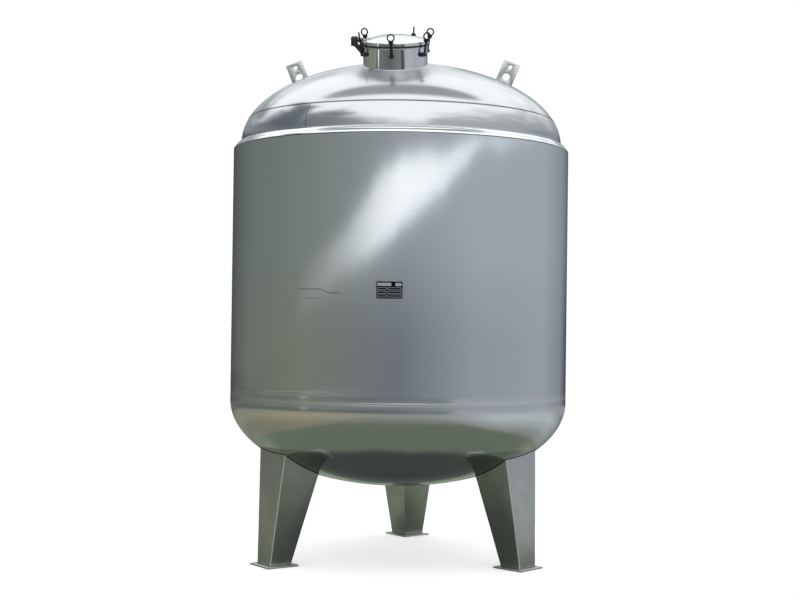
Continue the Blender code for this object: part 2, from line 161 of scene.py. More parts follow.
def blank_material(title: str) -> tuple[Material, Adder, NodeSocket]:
    """Makes a material with the plain shader.

    Args:
        title: its name.

    Returns:
        The material, what adds a node to it, and its Object coordinates.
    """
    made = bpy.data.materials.new(title)
    made.use_nodes = True
    node = partial(add_node, made.node_tree)
    return made, node, node("TexCoord").outputs["Object"]


@dataclass(frozen=True)
class Finish:
    """A surface. What its kind adds to the plain shader stands in its pattern method.

    Args:
        title: the material's name.
        colour: its base colour, as sRGB hex.
        roughness: how wide its gloss spreads.
        metallic: 1 for bare metal, 0 for the rest.
    """

    title: str
    colour: str
    roughness: float
    metallic: float = 1.0

    def material(self) -> Material:
        """Makes the material, or finds it if it is made.

        Returns:
            The material with its node tree.
        """
        found = bpy.data.materials.get(self.title)
        if found:
            return found
        made, node, place = blank_material(self.title)
        made.diffuse_color = linear(self.colour)
        plain = {"Base Color": self.colour, "Roughness": self.roughness, "Metallic": self.metallic}
        plug(made.node_tree.nodes["Principled BSDF"], plain | self.pattern(node, place))
        return made

    def pattern(self, node: Adder, place: NodeSocket) -> Links:
        """Gives what the surface's own making puts into the shader's inputs: nothing, on a plain one."""
        return {}

    def worn(self, node: Adder, marks: Node, rough: Sequence[float], tone: Sequence[float]) -> Links:
        """Spreads the roughness and shades the colour by a pattern of marks.

        Args:
            node: adds a node.
            marks: the pattern.
            rough: its least and greatest value, and what they add to the roughness.
            tone: its least and greatest value, and what they multiply the colour by.

        Returns:
            The shader's colour and roughness.
        """
        low, high, least, most = rough
        shade = node("MapRange", (marks, *tone))
        spread = node("MapRange", (marks, low, high, self.roughness + least, self.roughness + most))
        return {"Base Color": node("Mix", (1.0, self.colour, shade), **TINT), "Roughness": spread}


@dataclass(frozen=True)
class RolledSheet(Finish):
    """Cold-rolled stainless sheet, 2B: a soft mirror with long waves from rolling and a faint level grain.

    The waves pull reflections into streaks, the grain softens them, and handling leaves dull clouds.
    """

    wave_mm: float = 620.0
    wave_depth_mm: float = 0.9
    grain_mm: float = 6.0
    cloud_mm: float = 340.0
    # Where the painted shadow line under the closure ring lies, and how wide it is.
    edge_height: float = 0.0
    edge_mm: float = 4.0
    seam_height: float = 0.0
    streak_mm: float = 38.0
    ripple_reach: float = 0.2
    ripple_mm: float = 0.5
    brushed_reach: tuple[float, float] = (0.045, 0.015)
    brushed_dull: float = 0.14
    crease_height: float = 0.0
    crease_sag: float = 0.024
    crease_half: tuple[float, float] = (0.0075, 0.0025)
    crease_end: float = 0.05
    # Each wrinkle: how far under crease_height it lies, its first and last x, and how dark its painted shade
    # is.
    creases: tuple[tuple[float, ...], ...] = (
        (0.0, -0.64, -0.34, 0.6),
        (0.056, -0.6, -0.46, 0.35),
        (-0.061, 1.04, 1.2, 0.6),
    )

    def pattern(self, node: Adder, place: NodeSocket) -> Links:
        """Adds waves, grain, dull clouds, the round seam's marks, and painted shade along a sling's marks and
        under the top edge.

        Args:
            node: adds a node.
            place: its Object coordinates.

        Returns:
            The shader's colour, roughness and normal.
        """
        height = node("SeparateXYZ", (place,)).outputs["Z"]
        waves = node("TexNoise", (place, 1000 / self.wave_mm, 1.5, 0.35))
        bent = node("Bump", {"Height": waves, "Strength": 1.0, "Distance": self.wave_depth_mm * MILLIMETRE})
        # The grain is drawn 6 mm tall and very long, coarser than the real 0.05 mm, so that it shows at all.
        squeezed = node("Mapping", {"Vector": place, "Scale": (0.03, 0.03, 1.0)})
        grain = node("TexNoise", (squeezed, 1000 / self.grain_mm, 3.0))
        clouds = node("TexNoise", (place, 1000 / self.cloud_mm, 4.0))
        mixed = node("Math", (grain, clouds), operation="ADD")
        made = self.worn(node, mixed, (0.7, 1.4, -0.01, 0.01), (0.7, 1.4, 0.99, 0.965))
        seam = self.seam_height
        if seam:
            # Welding pulls the sheet in along the round seam, which leaves long level ripples above it.
            flat = node("Mapping", {"Vector": place, "Scale": (0.11, 0.11, 1.0)})
            ripples = node("TexNoise", (flat, 1000 / self.streak_mm, 2.0))
            reach = (height, seam + self.ripple_reach, seam, 0.0, self.ripple_mm * MILLIMETRE)
            lifted = node("Math", (ripples, node("MapRange", reach, **SMOOTH)), operation="MULTIPLY")
            bent = node("Bump", {"Height": lifted, "Strength": 1.0, "Distance": 1.0, "Normal": bent})
            # Brushing the weld clean leaves the sheet duller beside it.
            far, near = self.brushed_reach
            brushed = node("MapRange", (height, seam + far, seam + near, 0.0, self.brushed_dull))
            made["Roughness"] = node("Math", (made["Roughness"], brushed), operation="ADD")
        # A dark band at the wall's top edge is painted shadow of the gap under the closure ring.
        if self.edge_height:
            edge = self.edge_mm * MILLIMETRE
            near = node("MapRange", (height, self.edge_height - edge, self.edge_height - 0.5 * edge))
            made["Base Color"] = node("Mix", (near, made["Base Color"], "#3a3d40"), **COLOURS)
        # The sling's wrinkles are dark lines of painted shade in the colour, with no dent in the sheet.
        if self.crease_height:
            creases = self.crease(node, place)
            made["Base Color"] = node("Mix", (creases, made["Base Color"], "#7f8583"), **COLOURS)
        return made | {"Normal": bent}

    def crease(self, node: Adder, place: NodeSocket) -> Node:
        """Paints dark lines of shade along the short wrinkles that a sling left: two left of the plate and
        one at the right edge.

        Args:
            node: adds a node.
            place: its Object coordinates.

        Returns:
            A node that gives the painted shade's depth on a wrinkle and 0 beside it.
        """
        x, y, z = node("SeparateXYZ", (place,)).outputs
        front = node("Math", (y, 0.0), operation="LESS_THAN")
        total: Node | float = 0.0
        for drop, first, last, depth in self.creases:
            high = self.crease_height - drop
            level = node("MapRange", (x, -0.5, -0.41, high, high - self.crease_sag), **SMOOTH)
            away = node("Math", (z, level), operation="SUBTRACT")
            away = node("Math", (away,), operation="ABSOLUTE")
            near = node("MapRange", (away, *self.crease_half, 0.0, depth))
            start = node("MapRange", (x, first, first + self.crease_end))
            stop = node("MapRange", (x, last, last - self.crease_end))
            for mask in (start, stop, front):
                near = node("Math", (near, mask), operation="MULTIPLY")
            total = node("Math", (total, near), operation="ADD")
        return total


@dataclass(frozen=True)
class PolishedPlate(Finish):
    """Pressed plate, ground and buffed: a clearer mirror whose reflections wander with the press marks."""

    wave_mm: float = 420.0
    wave_depth_mm: float = 0.35
    scratch_mm: float = 9.0
    seam_radius: float = 0.0
    seam_half_mm: float = 5.0
    ground_place: tuple[float, float, float] = (0.0, 0.0, 0.0)
    ground_radius: float = 0.0
    ground_edge: float = 0.1
    ground_dull: float = 0.27

    def pattern(self, node: Adder, place: NodeSocket) -> Links:
        """Adds press marks, buffing scratches and the heat-tinted line beside a round seam.

        Args:
            node: adds a node.
            place: its Object coordinates.

        Returns:
            The shader's colour, roughness and normal.
        """
        waves = node("TexNoise", (place, 1000 / self.wave_mm, 1.0, 0.4))
        bent = node("Bump", {"Height": waves, "Strength": 1.0, "Distance": self.wave_depth_mm * MILLIMETRE})
        # The buffing lines are drawn 3 to 9 mm wide, coarser than the real 0.1 mm, so that they show at all.
        squeezed = node("Mapping", {"Vector": place, "Scale": (1.0, 0.12, 1.0)})
        scratches = node("TexNoise", (squeezed, 1000 / self.scratch_mm, 5.0))
        made = self.worn(node, scratches, (0.35, 0.7, -0.01, 0.02), (0.3, 0.75, 1.0, 0.97))
        if self.ground_radius:
            # The weld round the manway's neck is ground flush, which leaves the plate duller there.
            away = node("VectorMath", (place, self.ground_place), operation="DISTANCE")
            outer, inner = self.ground_radius + self.ground_edge, self.ground_radius - self.ground_edge
            dull = node("MapRange", (away, outer, inner, 0.0, self.ground_dull), **SMOOTH)
            made["Roughness"] = node("Math", (made["Roughness"], dull), operation="ADD")
        if self.seam_radius:
            flat = node("VectorMath", (place, (1.0, 1.0, 0.0)), operation="MULTIPLY")
            radius = node("VectorMath", (flat,), operation="LENGTH")
            away = node("Math", (radius, self.seam_radius), operation="SUBTRACT")
            away = node("Math", (away,), operation="ABSOLUTE")
            half = self.seam_half_mm * MILLIMETRE
            near = node("MapRange", (away, half, 0.4 * half))
            made["Base Color"] = node("Mix", (near, made["Base Color"], "#8f8f8c"), **COLOURS)
        return made | {"Normal": bent}


@dataclass(frozen=True)
class FoldedPlate(Finish):
    """Folded stainless plate as it leaves the brake: dull, with a short upright grain and darker blotches."""

    grain_mm: float = 5.0
    blotch_mm: float = 120.0
    wave_depth_mm: float = 0.6
    tinted: str = "#77756c"

    def pattern(self, node: Adder, place: NodeSocket) -> Links:
        """Adds grain, blotches of heat tint and slow waves.

        Args:
            node: adds a node.
            place: its Object coordinates.

        Returns:
            The shader's colour, roughness and normal.
        """
        # The grain is drawn 5 mm wide, coarser than the real 0.1 mm, so that it shows at all.
        squeezed = node("Mapping", {"Vector": place, "Scale": (1.0, 1.0, 0.05)})
        grain = node("TexNoise", (squeezed, 1000 / self.grain_mm, 4.0))
        blotches = node("TexNoise", (place, 1000 / self.blotch_mm, 5.0))
        share = node("MapRange", (blotches, 0.35, 0.75, 0.0, 0.25))
        waves = node("TexNoise", (place, 500 / self.blotch_mm, 1.0))
        bent = node("Bump", {"Height": waves, "Strength": 1.0, "Distance": self.wave_depth_mm * MILLIMETRE})
        return {
            "Base Color": node("Mix", (share, self.colour, self.tinted), **COLOURS),
            "Roughness": node("MapRange", (grain, 0.3, 0.7, self.roughness - 0.02, self.roughness + 0.03)),
            "Normal": bent,
        }


@dataclass(frozen=True)
class TurnedSteel(Finish):
    """Turned or cast stainless fittings: fine tool marks, greyer hollows and polished high spots."""

    mark_mm: float = 1.6
    mark_depth_mm: float = 0.08
    patch_mm: float = 50 / 3

    def pattern(self, node: Adder, place: NodeSocket) -> Links:
        """Adds tool marks and a greyer tone in patches.

        Args:
            node: adds a node.
            place: its Object coordinates.

        Returns:
            The shader's colour, roughness and normal.
        """
        # The tool marks are drawn 1.6 mm wide, coarser than the real 0.2 mm, so that they show at all.
        marks = node("TexNoise", (place, 1000 / self.mark_mm, 2.0))
        patches = node("TexNoise", (place, 1000 / self.patch_mm, 3.0))
        bent = node("Bump", {"Height": marks, "Strength": 0.3, "Distance": self.mark_depth_mm * MILLIMETRE})
        return self.worn(node, patches, (0.3, 0.7, -0.05, 0.1), (0.3, 0.7, 1.0, 0.75)) | {"Normal": bent}


@dataclass(frozen=True)
class WeldMetal(Finish):
    """A weld bead: scalloped ripples with straw and blue heat tint."""

    ripple_mm: float = 4.0
    depth_mm: float = 0.4
    tint_mm: float = 200 / 9

    def pattern(self, node: Adder, place: NodeSocket) -> Links:
        """Adds ripples along the bead and its heat tint.

        Args:
            node: adds a node.
            place: its Object coordinates.

        Returns:
            The shader's colour and normal.
        """
        # The ripples are drawn 4 mm apart, wider than the real 1.5 mm, so that they show at all.
        ripples = node("TexVoronoi", (place, 1000 / self.ripple_mm))
        tint = node("TexNoise", (place, 1000 / self.tint_mm, 2.0))
        tones = ((0.35, "#3c3d40"), (0.5, self.colour), (0.68, "#6b665c"))
        bent = node("Bump", {"Height": ripples, "Strength": 0.6, "Distance": self.depth_mm * MILLIMETRE})
        return {"Base Color": node("ValToRGB", (tint,), stops=tones), "Normal": bent}


@dataclass(frozen=True)
class MouldedRubber(Finish):
    """Moulded black rubber: matt, with a fine bloom of grey."""

    bloom_mm: float = 14.0
    bloom: str = "#3b3b3a"

    def pattern(self, node: Adder, place: NodeSocket) -> Links:
        """Adds the bloom to colour and roughness.

        Args:
            node: adds a node.
            place: its Object coordinates.

        Returns:
            The shader's colour and roughness.
        """
        bloom = node("TexNoise", (place, 1000 / self.bloom_mm, 6.0))
        rough = node("MapRange", (bloom, 0.0, 1.0, self.roughness - 0.1, self.roughness + 0.1))
        return {
            "Base Color": node("ValToRGB", (bloom,), stops=((0.3, self.colour), (0.8, self.bloom))),
            "Roughness": rough,
        }


@dataclass(frozen=True)
class AnodisedSheet(Finish):
    """Anodised aluminium sheet: satin, with a fine level brushing under the dye."""

    brush_mm: float = 0.8

    def pattern(self, node: Adder, place: NodeSocket) -> Links:
        """Adds the brushing to tone and roughness.

        Args:
            node: adds a node.
            place: its Object coordinates.

        Returns:
            The shader's colour and roughness.
        """
        # The brushing is drawn 0.8 mm tall, coarser than the real 0.05 mm, so that it shows at all.
        squeezed = node("Mapping", {"Vector": place, "Scale": (0.04, 0.04, 1.0)})
        brush = node("TexNoise", (squeezed, 1000 / self.brush_mm, 3.0))
        return self.worn(node, brush, (0.3, 0.7, -0.06, 0.08), (0.3, 0.7, 1.0, 0.8))


JACKET_SHEET = RolledSheet(
    "rolled_2b_jacket_sheet", "#c8cacb", 0.068, edge_height=2.6495, seam_height=1.06, crease_height=1.729
)
BOTTOM_SHEET = RolledSheet("rolled_2b_bottom_head", "#c8cacb", 0.14, wave_mm=480, wave_depth_mm=0.7)
TOP_PLATE = PolishedPlate(
    "buffed_head_plate",
    "#c8cacb",
    0.15,
    seam_radius=1.006,
    ground_place=(-0.05, -0.558, 3.142),
    ground_radius=0.36,
)
RING_PLATE = PolishedPlate("buffed_closure_ring", "#e0e2e3", 0.1, wave_depth_mm=0.05)
INSIDE_PLATE = PolishedPlate("pickled_vessel_plate", "#c2c4c4", 0.28)
NECK_STEEL = PolishedPlate(
    "buffed_manway_steel", "#dadcdd", 0.08, wave_mm=60, wave_depth_mm=0.05, scratch_mm=3
)
LEG_PLATE = FoldedPlate("folded_leg_plate", "#b7b8b4", 0.3)
# The folds' lighter colour is partly rubbing and partly a painted highlight along the bends.
FOLD_STEEL = FoldedPlate("rubbed_leg_fold", "#e2e2dd", 0.55, tinted="#bdbcb4")
FOOT_PLATE = FoldedPlate("sheared_foot_plate", "#cfcfca", 0.5, tinted="#a09e94")
LUG_PLATE = FoldedPlate("sheared_lug_plate", "#c9cac8", 0.34, tinted="#a3a29c")
FITTING_STEEL = TurnedSteel("cast_fitting_steel", "#55575a", 0.28)
BOLT_STEEL = TurnedSteel("turned_bolt_steel", "#343537", 0.24)
WELD = WeldMetal("weld_bead", "#5c5e60", 0.4)
RUBBER = MouldedRubber("moulded_black_rubber", "#0d0d0d", 0.7, 0.0)
BLACK_SHEET = AnodisedSheet("black_anodised_sheet", "#17181a", 0.35)
BARE_SHEET = AnodisedSheet("bare_anodised_sheet", "#c4c6c8", 0.3)


# The shop's tools


def deselect_all() -> None:
    """Leaves nothing selected, because an operator acts on all that is."""
    bpy.ops.object.select_all(action="DESELECT")


def pick(obj: Object) -> None:
    """Selects one object alone and makes it the active one."""
    deselect_all()
    obj.select_set(True)
    bpy.context.view_layer.objects.active = obj


def named(name: str) -> Object:
    """Names the object that an operator has just made, and its mesh.

    Args:
        name: the name of both.

    Returns:
        The object.
    """
    obj = bpy.context.object
    obj.name = obj.data.name = name
    return obj


def place_in_mesh() -> None:
    """Moves the selected objects' place, turn and scale into their meshes."""
    bpy.ops.object.transform_apply(location=True, rotation=True, scale=True)


def around(radius: float, turn: float, height: float) -> Vector:
    """Gives a place by its distance from the axis, its angle from the front in radians, and its height."""
    return Vector((radius * sin(turn), -radius * cos(turn), height))


def standing(radius: float, degrees: float, height: float) -> Matrix:
    """Gives a seat at such a place, by its angle in degrees, with -Y pointing outwards."""
    turn = radians(degrees)
    return Matrix.Translation(around(radius, turn, height)) @ Matrix.Rotation(turn, 4, "Z")


@contextmanager
def editing(obj: Object) -> Iterator[bmesh.types.BMesh]:
    """Opens an object in edit mode with nothing selected, and closes it again.

    Args:
        obj: the object to shape.

    Yields:
        Its edit mesh, to select vertices, edges and faces by their place.
    """
    pick(obj)
    bpy.ops.object.mode_set(mode="EDIT")
    bpy.ops.mesh.select_mode(type="VERT")
    bpy.ops.mesh.select_all(action="DESELECT")
    yield bmesh.from_edit_mesh(obj.data)
    bpy.ops.object.mode_set(mode="OBJECT")


def choose(mesh: bmesh.types.BMesh, test: Callable[[bmesh.types.BMVert], bool]) -> None:
    """Selects the vertices that pass a test, and the edges and faces between them.

    Args:
        mesh: an edit mesh.
        test: says whether a vertex is chosen.
    """
    for vert in mesh.verts:
        vert.select_set(test(vert))
    mesh.select_flush(True)


def settle(obj: Object, seat: Matrix | None = None, angle: float = 30.0) -> Object:
    """Closes a mesh's doubles, turns its faces outwards, seats it and keeps its place in its mesh.

    Args:
        obj: the object to finish.
        seat: where its own origin goes.
        angle: edges sharper than this many degrees stay sharp to the eye.

    Returns:
        The same object, at the origin, unturned and unscaled.
    """
    with editing(obj):
        bpy.ops.mesh.select_all(action="SELECT")
        bpy.ops.mesh.remove_doubles(threshold=1e-6)
        bpy.ops.mesh.normals_make_consistent(inside=False)
    place_in_mesh()
    if seat is not None:
        obj.matrix_world = seat
        place_in_mesh()
    bpy.ops.object.shade_smooth_by_angle(angle=radians(angle))
    return obj


def turned(
    name: str, outline: Outline, steps: int, seat: Matrix | None = None, angle: float = 30.0
) -> Object:
    """Turns an outline round Z, ring by ring. Its ends meet each other, or close on the axis.

    Args:
        name: the piece's name.
        outline: (radius, height) points, in order.
        steps: how many sides a ring has.
        seat: where the piece's own origin goes.
        angle: edges sharper than this many degrees stay sharp.

    Returns:
        A closed object.
    """
    first = 1 if outline[0][0] < 1e-6 else 0
    radius, height = outline[first]
    deselect_all()
    bpy.ops.mesh.primitive_circle_add(vertices=steps, radius=radius, location=(0, 0, height))
    obj = named(name)
    bpy.ops.object.mode_set(mode="EDIT")
    bpy.ops.mesh.select_mode(type="VERT")
    bpy.ops.mesh.select_all(action="SELECT")
    for next_radius, next_height in outline[first + 1 :]:
        extrude_ring(radius, next_radius, height, next_height)
        radius, height = next_radius, next_height
    mesh = bmesh.from_edit_mesh(obj.data)
    if first:
        choose(mesh, lambda vert: vert.index < steps)
        extrude_ring(outline[1][0], 0.0, outline[1][1], outline[0][1])
    elif radius > 1e-6:
        total = len(mesh.verts)
        choose(mesh, lambda vert: vert.index < steps or vert.index >= total - steps)
        bpy.ops.mesh.select_mode(type="EDGE")
        bpy.ops.mesh.bridge_edge_loops()
    bpy.ops.object.mode_set(mode="OBJECT")
    return settle(obj, seat, angle)


def extrude_ring(radius: float, next_radius: float, height: float, next_height: float) -> None:
    """Draws the selected ring out to the next one, or to a pole on the axis.

    Args:
        radius: the ring's radius.
        next_radius: the next ring's radius, 0 for a pole.
        height: the ring's height.
        next_height: the next ring's height.
    """
    bpy.ops.mesh.extrude_edges_move(TRANSFORM_OT_translate={"value": (0, 0, next_height - height)})
    if next_radius < 1e-6:
        bpy.ops.mesh.merge(type="CENTER")
        return
    scale = next_radius / radius
    bpy.ops.transform.resize(value=(scale, scale, 1), center_override=(0, 0, next_height))


def drawn(name: str, places: Sequence[Sequence[float]], fill: str) -> Object:
    """Draws a closed line through places, from a circle.

    Args:
        name: the piece's name.
        places: its corners, in order.
        fill: NOTHING for a bare line, NGON for a face.

    Returns:
        The object.
    """
    deselect_all()
    bpy.ops.mesh.primitive_circle_add(vertices=len(places), radius=1.0, fill_type=fill)
    obj = named(name)
    with editing(obj) as mesh:
        mesh.verts.ensure_lookup_table()
        for vert, place in zip(mesh.verts, places):
            vert.co = place
        bmesh.update_edit_mesh(obj.data)
    return obj


def cut_plate(name: str, outline: Outline, thick: float) -> Object:
    """Cuts a plate to an outline. It stands in the YZ plane, and its thickness lies evenly about it.

    Args:
        name: the piece's name.
        outline: (y, z) points in order round it.
        thick: how thick it is, along X.

    Returns:
        The plate, not yet settled.
    """
    obj = drawn(name, [(-thick / 2, y, z) for y, z in outline], "NGON")
    with editing(obj):
        bpy.ops.mesh.select_all(action="SELECT")
        bpy.ops.mesh.extrude_region_move(TRANSFORM_OT_translate={"value": (thick, 0, 0)})
        bpy.ops.mesh.select_all(action="SELECT")
        bpy.ops.mesh.normals_make_consistent(inside=False)
    return obj


def round_bar(name: str, radius: float, length: float, axis: str = "Z", steps: int = 24) -> Object:
    """Adds a plain round bar, to drill with or to join to a piece.

    Args:
        name: the bar's name.
        radius: its radius.
        length: its length, evenly about the origin.
        axis: the axis it lies along, X or Z.
        steps: how many sides it has.

    Returns:
        The bar.
    """
    turn = (0, pi / 2 if axis == "X" else 0, 0)
    deselect_all()
    bpy.ops.mesh.primitive_cylinder_add(vertices=steps, radius=radius, depth=length, rotation=turn)
    place_in_mesh()
    return named(name)


def turned_pin(name: str, radius: float, length: float) -> Object:
    """Turns a pin along X with eased ends.

    Args:
        name: its name.
        radius: its radius.
        length: its length, evenly about the origin.

    Returns:
        The pin.
    """
    half, ease = length / 2, 0.001
    outline = [(0.0, -half), (radius - ease, -half), (radius, ease - half), (radius, half - ease)]
    outline += [(radius - ease, half), (0.0, half)]
    return turned(name, outline, 32, Matrix.Rotation(pi / 2, 4, "Y"))


def apply_modifier(obj: Object, kind: str, **settings: object) -> None:
    """Adds a modifier with its settings and applies it.

    Args:
        obj: the object that it shapes.
        kind: the modifier's type.
        settings: its settings.
    """
    pick(obj)
    modifier = obj.modifiers.new(kind.lower(), kind)
    for key, value in settings.items():
        setattr(modifier, key, value)
    bpy.ops.object.modifier_apply(modifier=modifier.name)


def cut(obj: Object, tool: Object, operation: str = "DIFFERENCE") -> None:
    """Cuts an object with a closed tool, or joins the two by a UNION, and throws the tool away."""
    apply_modifier(obj, "BOOLEAN", object=tool, operation=operation, solver="EXACT")
    bpy.data.objects.remove(tool, do_unlink=True)


def join(parts: Sequence[Object]) -> Object:
    """Joins objects into the first of them.

    Args:
        parts: the objects.

    Returns:
        The first, with all their meshes.
    """
    pick(parts[0])
    for part in parts[1:]:
        part.select_set(True)
    bpy.ops.object.join()
    return parts[0]


def ease_edges(obj: Object, width: float) -> None:
    """Rounds an object's sharp edges by a width in metres."""
    apply_modifier(obj, "BEVEL", width=width, segments=2, limit_method="ANGLE", angle_limit=radians(32))


def copy_of(obj: Object, name: str, seat: Matrix) -> Object:
    """Copies an object with a mesh of its own and seats it.

    Args:
        obj: the object to copy.
        name: the copy's name.
        seat: where its own origin goes.

    Returns:
        The copy, with its place in its mesh.
    """
    made = obj.copy()
    made.data = obj.data.copy()
    made.name = made.data.name = name
    bpy.context.collection.objects.link(made)
    made.matrix_world = seat
    pick(made)
    place_in_mesh()
    return made


def bead(name: str, path: Sequence[Vector], radius: float) -> Object:
    """Lays a round weld bead along a closed path.

    Args:
        name: the piece's name.
        path: its points, in order.
        radius: the bead's radius.

    Returns:
        The bead.
    """
    drawn(name, path, "NOTHING")
    bpy.ops.object.convert(target="CURVE")
    bpy.context.object.data.bevel_depth = radius
    bpy.context.object.data.bevel_resolution = 2
    bpy.ops.object.convert(target="MESH")
    return settle(named(name), angle=80)


def walk_round(corners: Outline, shares: Callable[[float], Sequence[float]]) -> Iterator[tuple[float, float]]:
    """Walks round a shape's sides.

    Args:
        corners: its corners, in order.
        shares: gives the shares of a side to stop at, for its length.

    Yields:
        The (x, y) of each stop.
    """
    for (x, y), (next_x, next_y) in zip(corners, [*corners[1:], corners[0]]):
        for share in shares(max(abs(next_x - x), abs(next_y - y))):
            yield x + (next_x - x) * share, y + (next_y - y) * share


def solve(
    place: Callable[[float], Vector], level: Callable[[Vector], float], low: float, high: float
) -> Vector:
    """Finds where a line of places crosses a surface.

    Args:
        place: gives a place for a height.
        level: below 0 inside the surface and above 0 outside it.
        low: a height on one side.
        high: a height on the other.

    Returns:
        The place on the surface.
    """
    low_side = level(place(low)) < 0
    for _ in range(40):
        middle = (low + high) / 2
        if (level(place(middle)) < 0) == low_side:
            low = middle
        else:
            high = middle
    return place((low + high) / 2)


def dress(
    obj: Object, finish: Finish, body: str = Body.TANK.value, nodes: Sequence[str] = ()
) -> None:
    """Gives a piece its finish, its body and the CAD nodes that it stands for.

    Args:
        obj: the piece, in place.
        finish: its finish.
        body: the body that it rides on.
        nodes: the CAD nodes that it replaces.
    """
    obj.data.materials.clear()
    obj.data.materials.append(finish.material())
    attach(obj, body)
    if nodes:
        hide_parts(*nodes)
    log.info("%s: %d faces, rides on %s", obj.name, len(obj.data.polygons), body)


def halves(name: str) -> list[str]:
    """Names the front and back halves of a CAD shell."""
    return [f"{name}_front", f"{name}_back"]


# The tank's sub-assemblies


@dataclass(frozen=True)
class EllipticHead:
    """An elliptical vessel head, twice as wide as it is deep.

    Args:
        radius: of its outer face.
        tangent: the height where it starts to curve.
        end: which end it closes.
    """

    radius: float
    tangent: float
    end: Head

    def arc(self, inset: float, steps: int) -> list[tuple[float, float]]:
        """Gives its outline from its tangent to its crown.

        Args:
            inset: how far inside the outer face.
            steps: how many points before the crown.

        Returns:
            (radius, height) points, the last on the axis.
        """
        wide, deep = self.radius - inset, self.end.value * (self.radius / 2 - inset)
        angles = (pi / 2 * i / steps for i in range(steps))
        return [(wide * cos(a), self.tangent + deep * sin(a)) for a in angles] + [(0.0, self.tangent + deep)]

    def skins(self, thick: float, steps: int) -> tuple[Outline, Outline]:
        """Gives its outer outline, from the crown to the tangent, and its inner one back up to the crown."""
        return self.arc(0.0, steps)[::-1], self.arc(thick, steps)

    def level(self, place: Vector) -> float:
        """Says how far outside (above 0) or inside (below 0) the head's outer face a place is."""
        across = (place.x**2 + place.y**2) / self.radius**2
        return across + ((place.z - self.tangent) / (self.radius / 2)) ** 2 - 1

    def height(self, offset: float) -> float:
        """Gives the outer face's height at a distance from the axis."""
        return self.tangent + self.end.value * sqrt(self.radius**2 - offset**2) / 2

    def seat(self, offset: float, azimuth: float) -> Matrix:
        """Gives a place on the head, with Z square to it and -Y downhill.

        Args:
            offset: distance from the axis.
            azimuth: degrees round from the front.

        Returns:
            The seat's matrix.
        """
        slope = atan2(offset / 2, sqrt(self.radius**2 - offset**2))
        return standing(offset, azimuth, self.height(offset)) @ Matrix.Rotation(slope, 4, "X")

    def foot(self, seat: Matrix, x: float, y: float) -> Vector:
        """Finds where a line along a seat's Z, at (x, y) from its origin, meets the head's outer face."""
        return solve(lambda z: seat @ Vector((x, y, z)), self.level, -0.1, 0.1)


VESSEL_TOP = EllipticHead(1.05, 2.698, Head.TOP)
JACKET_BOTTOM = EllipticHead(1.1, 1.02, Head.BOTTOM)
VESSEL_BOTTOM = EllipticHead(1.05, 1.045, Head.BOTTOM)


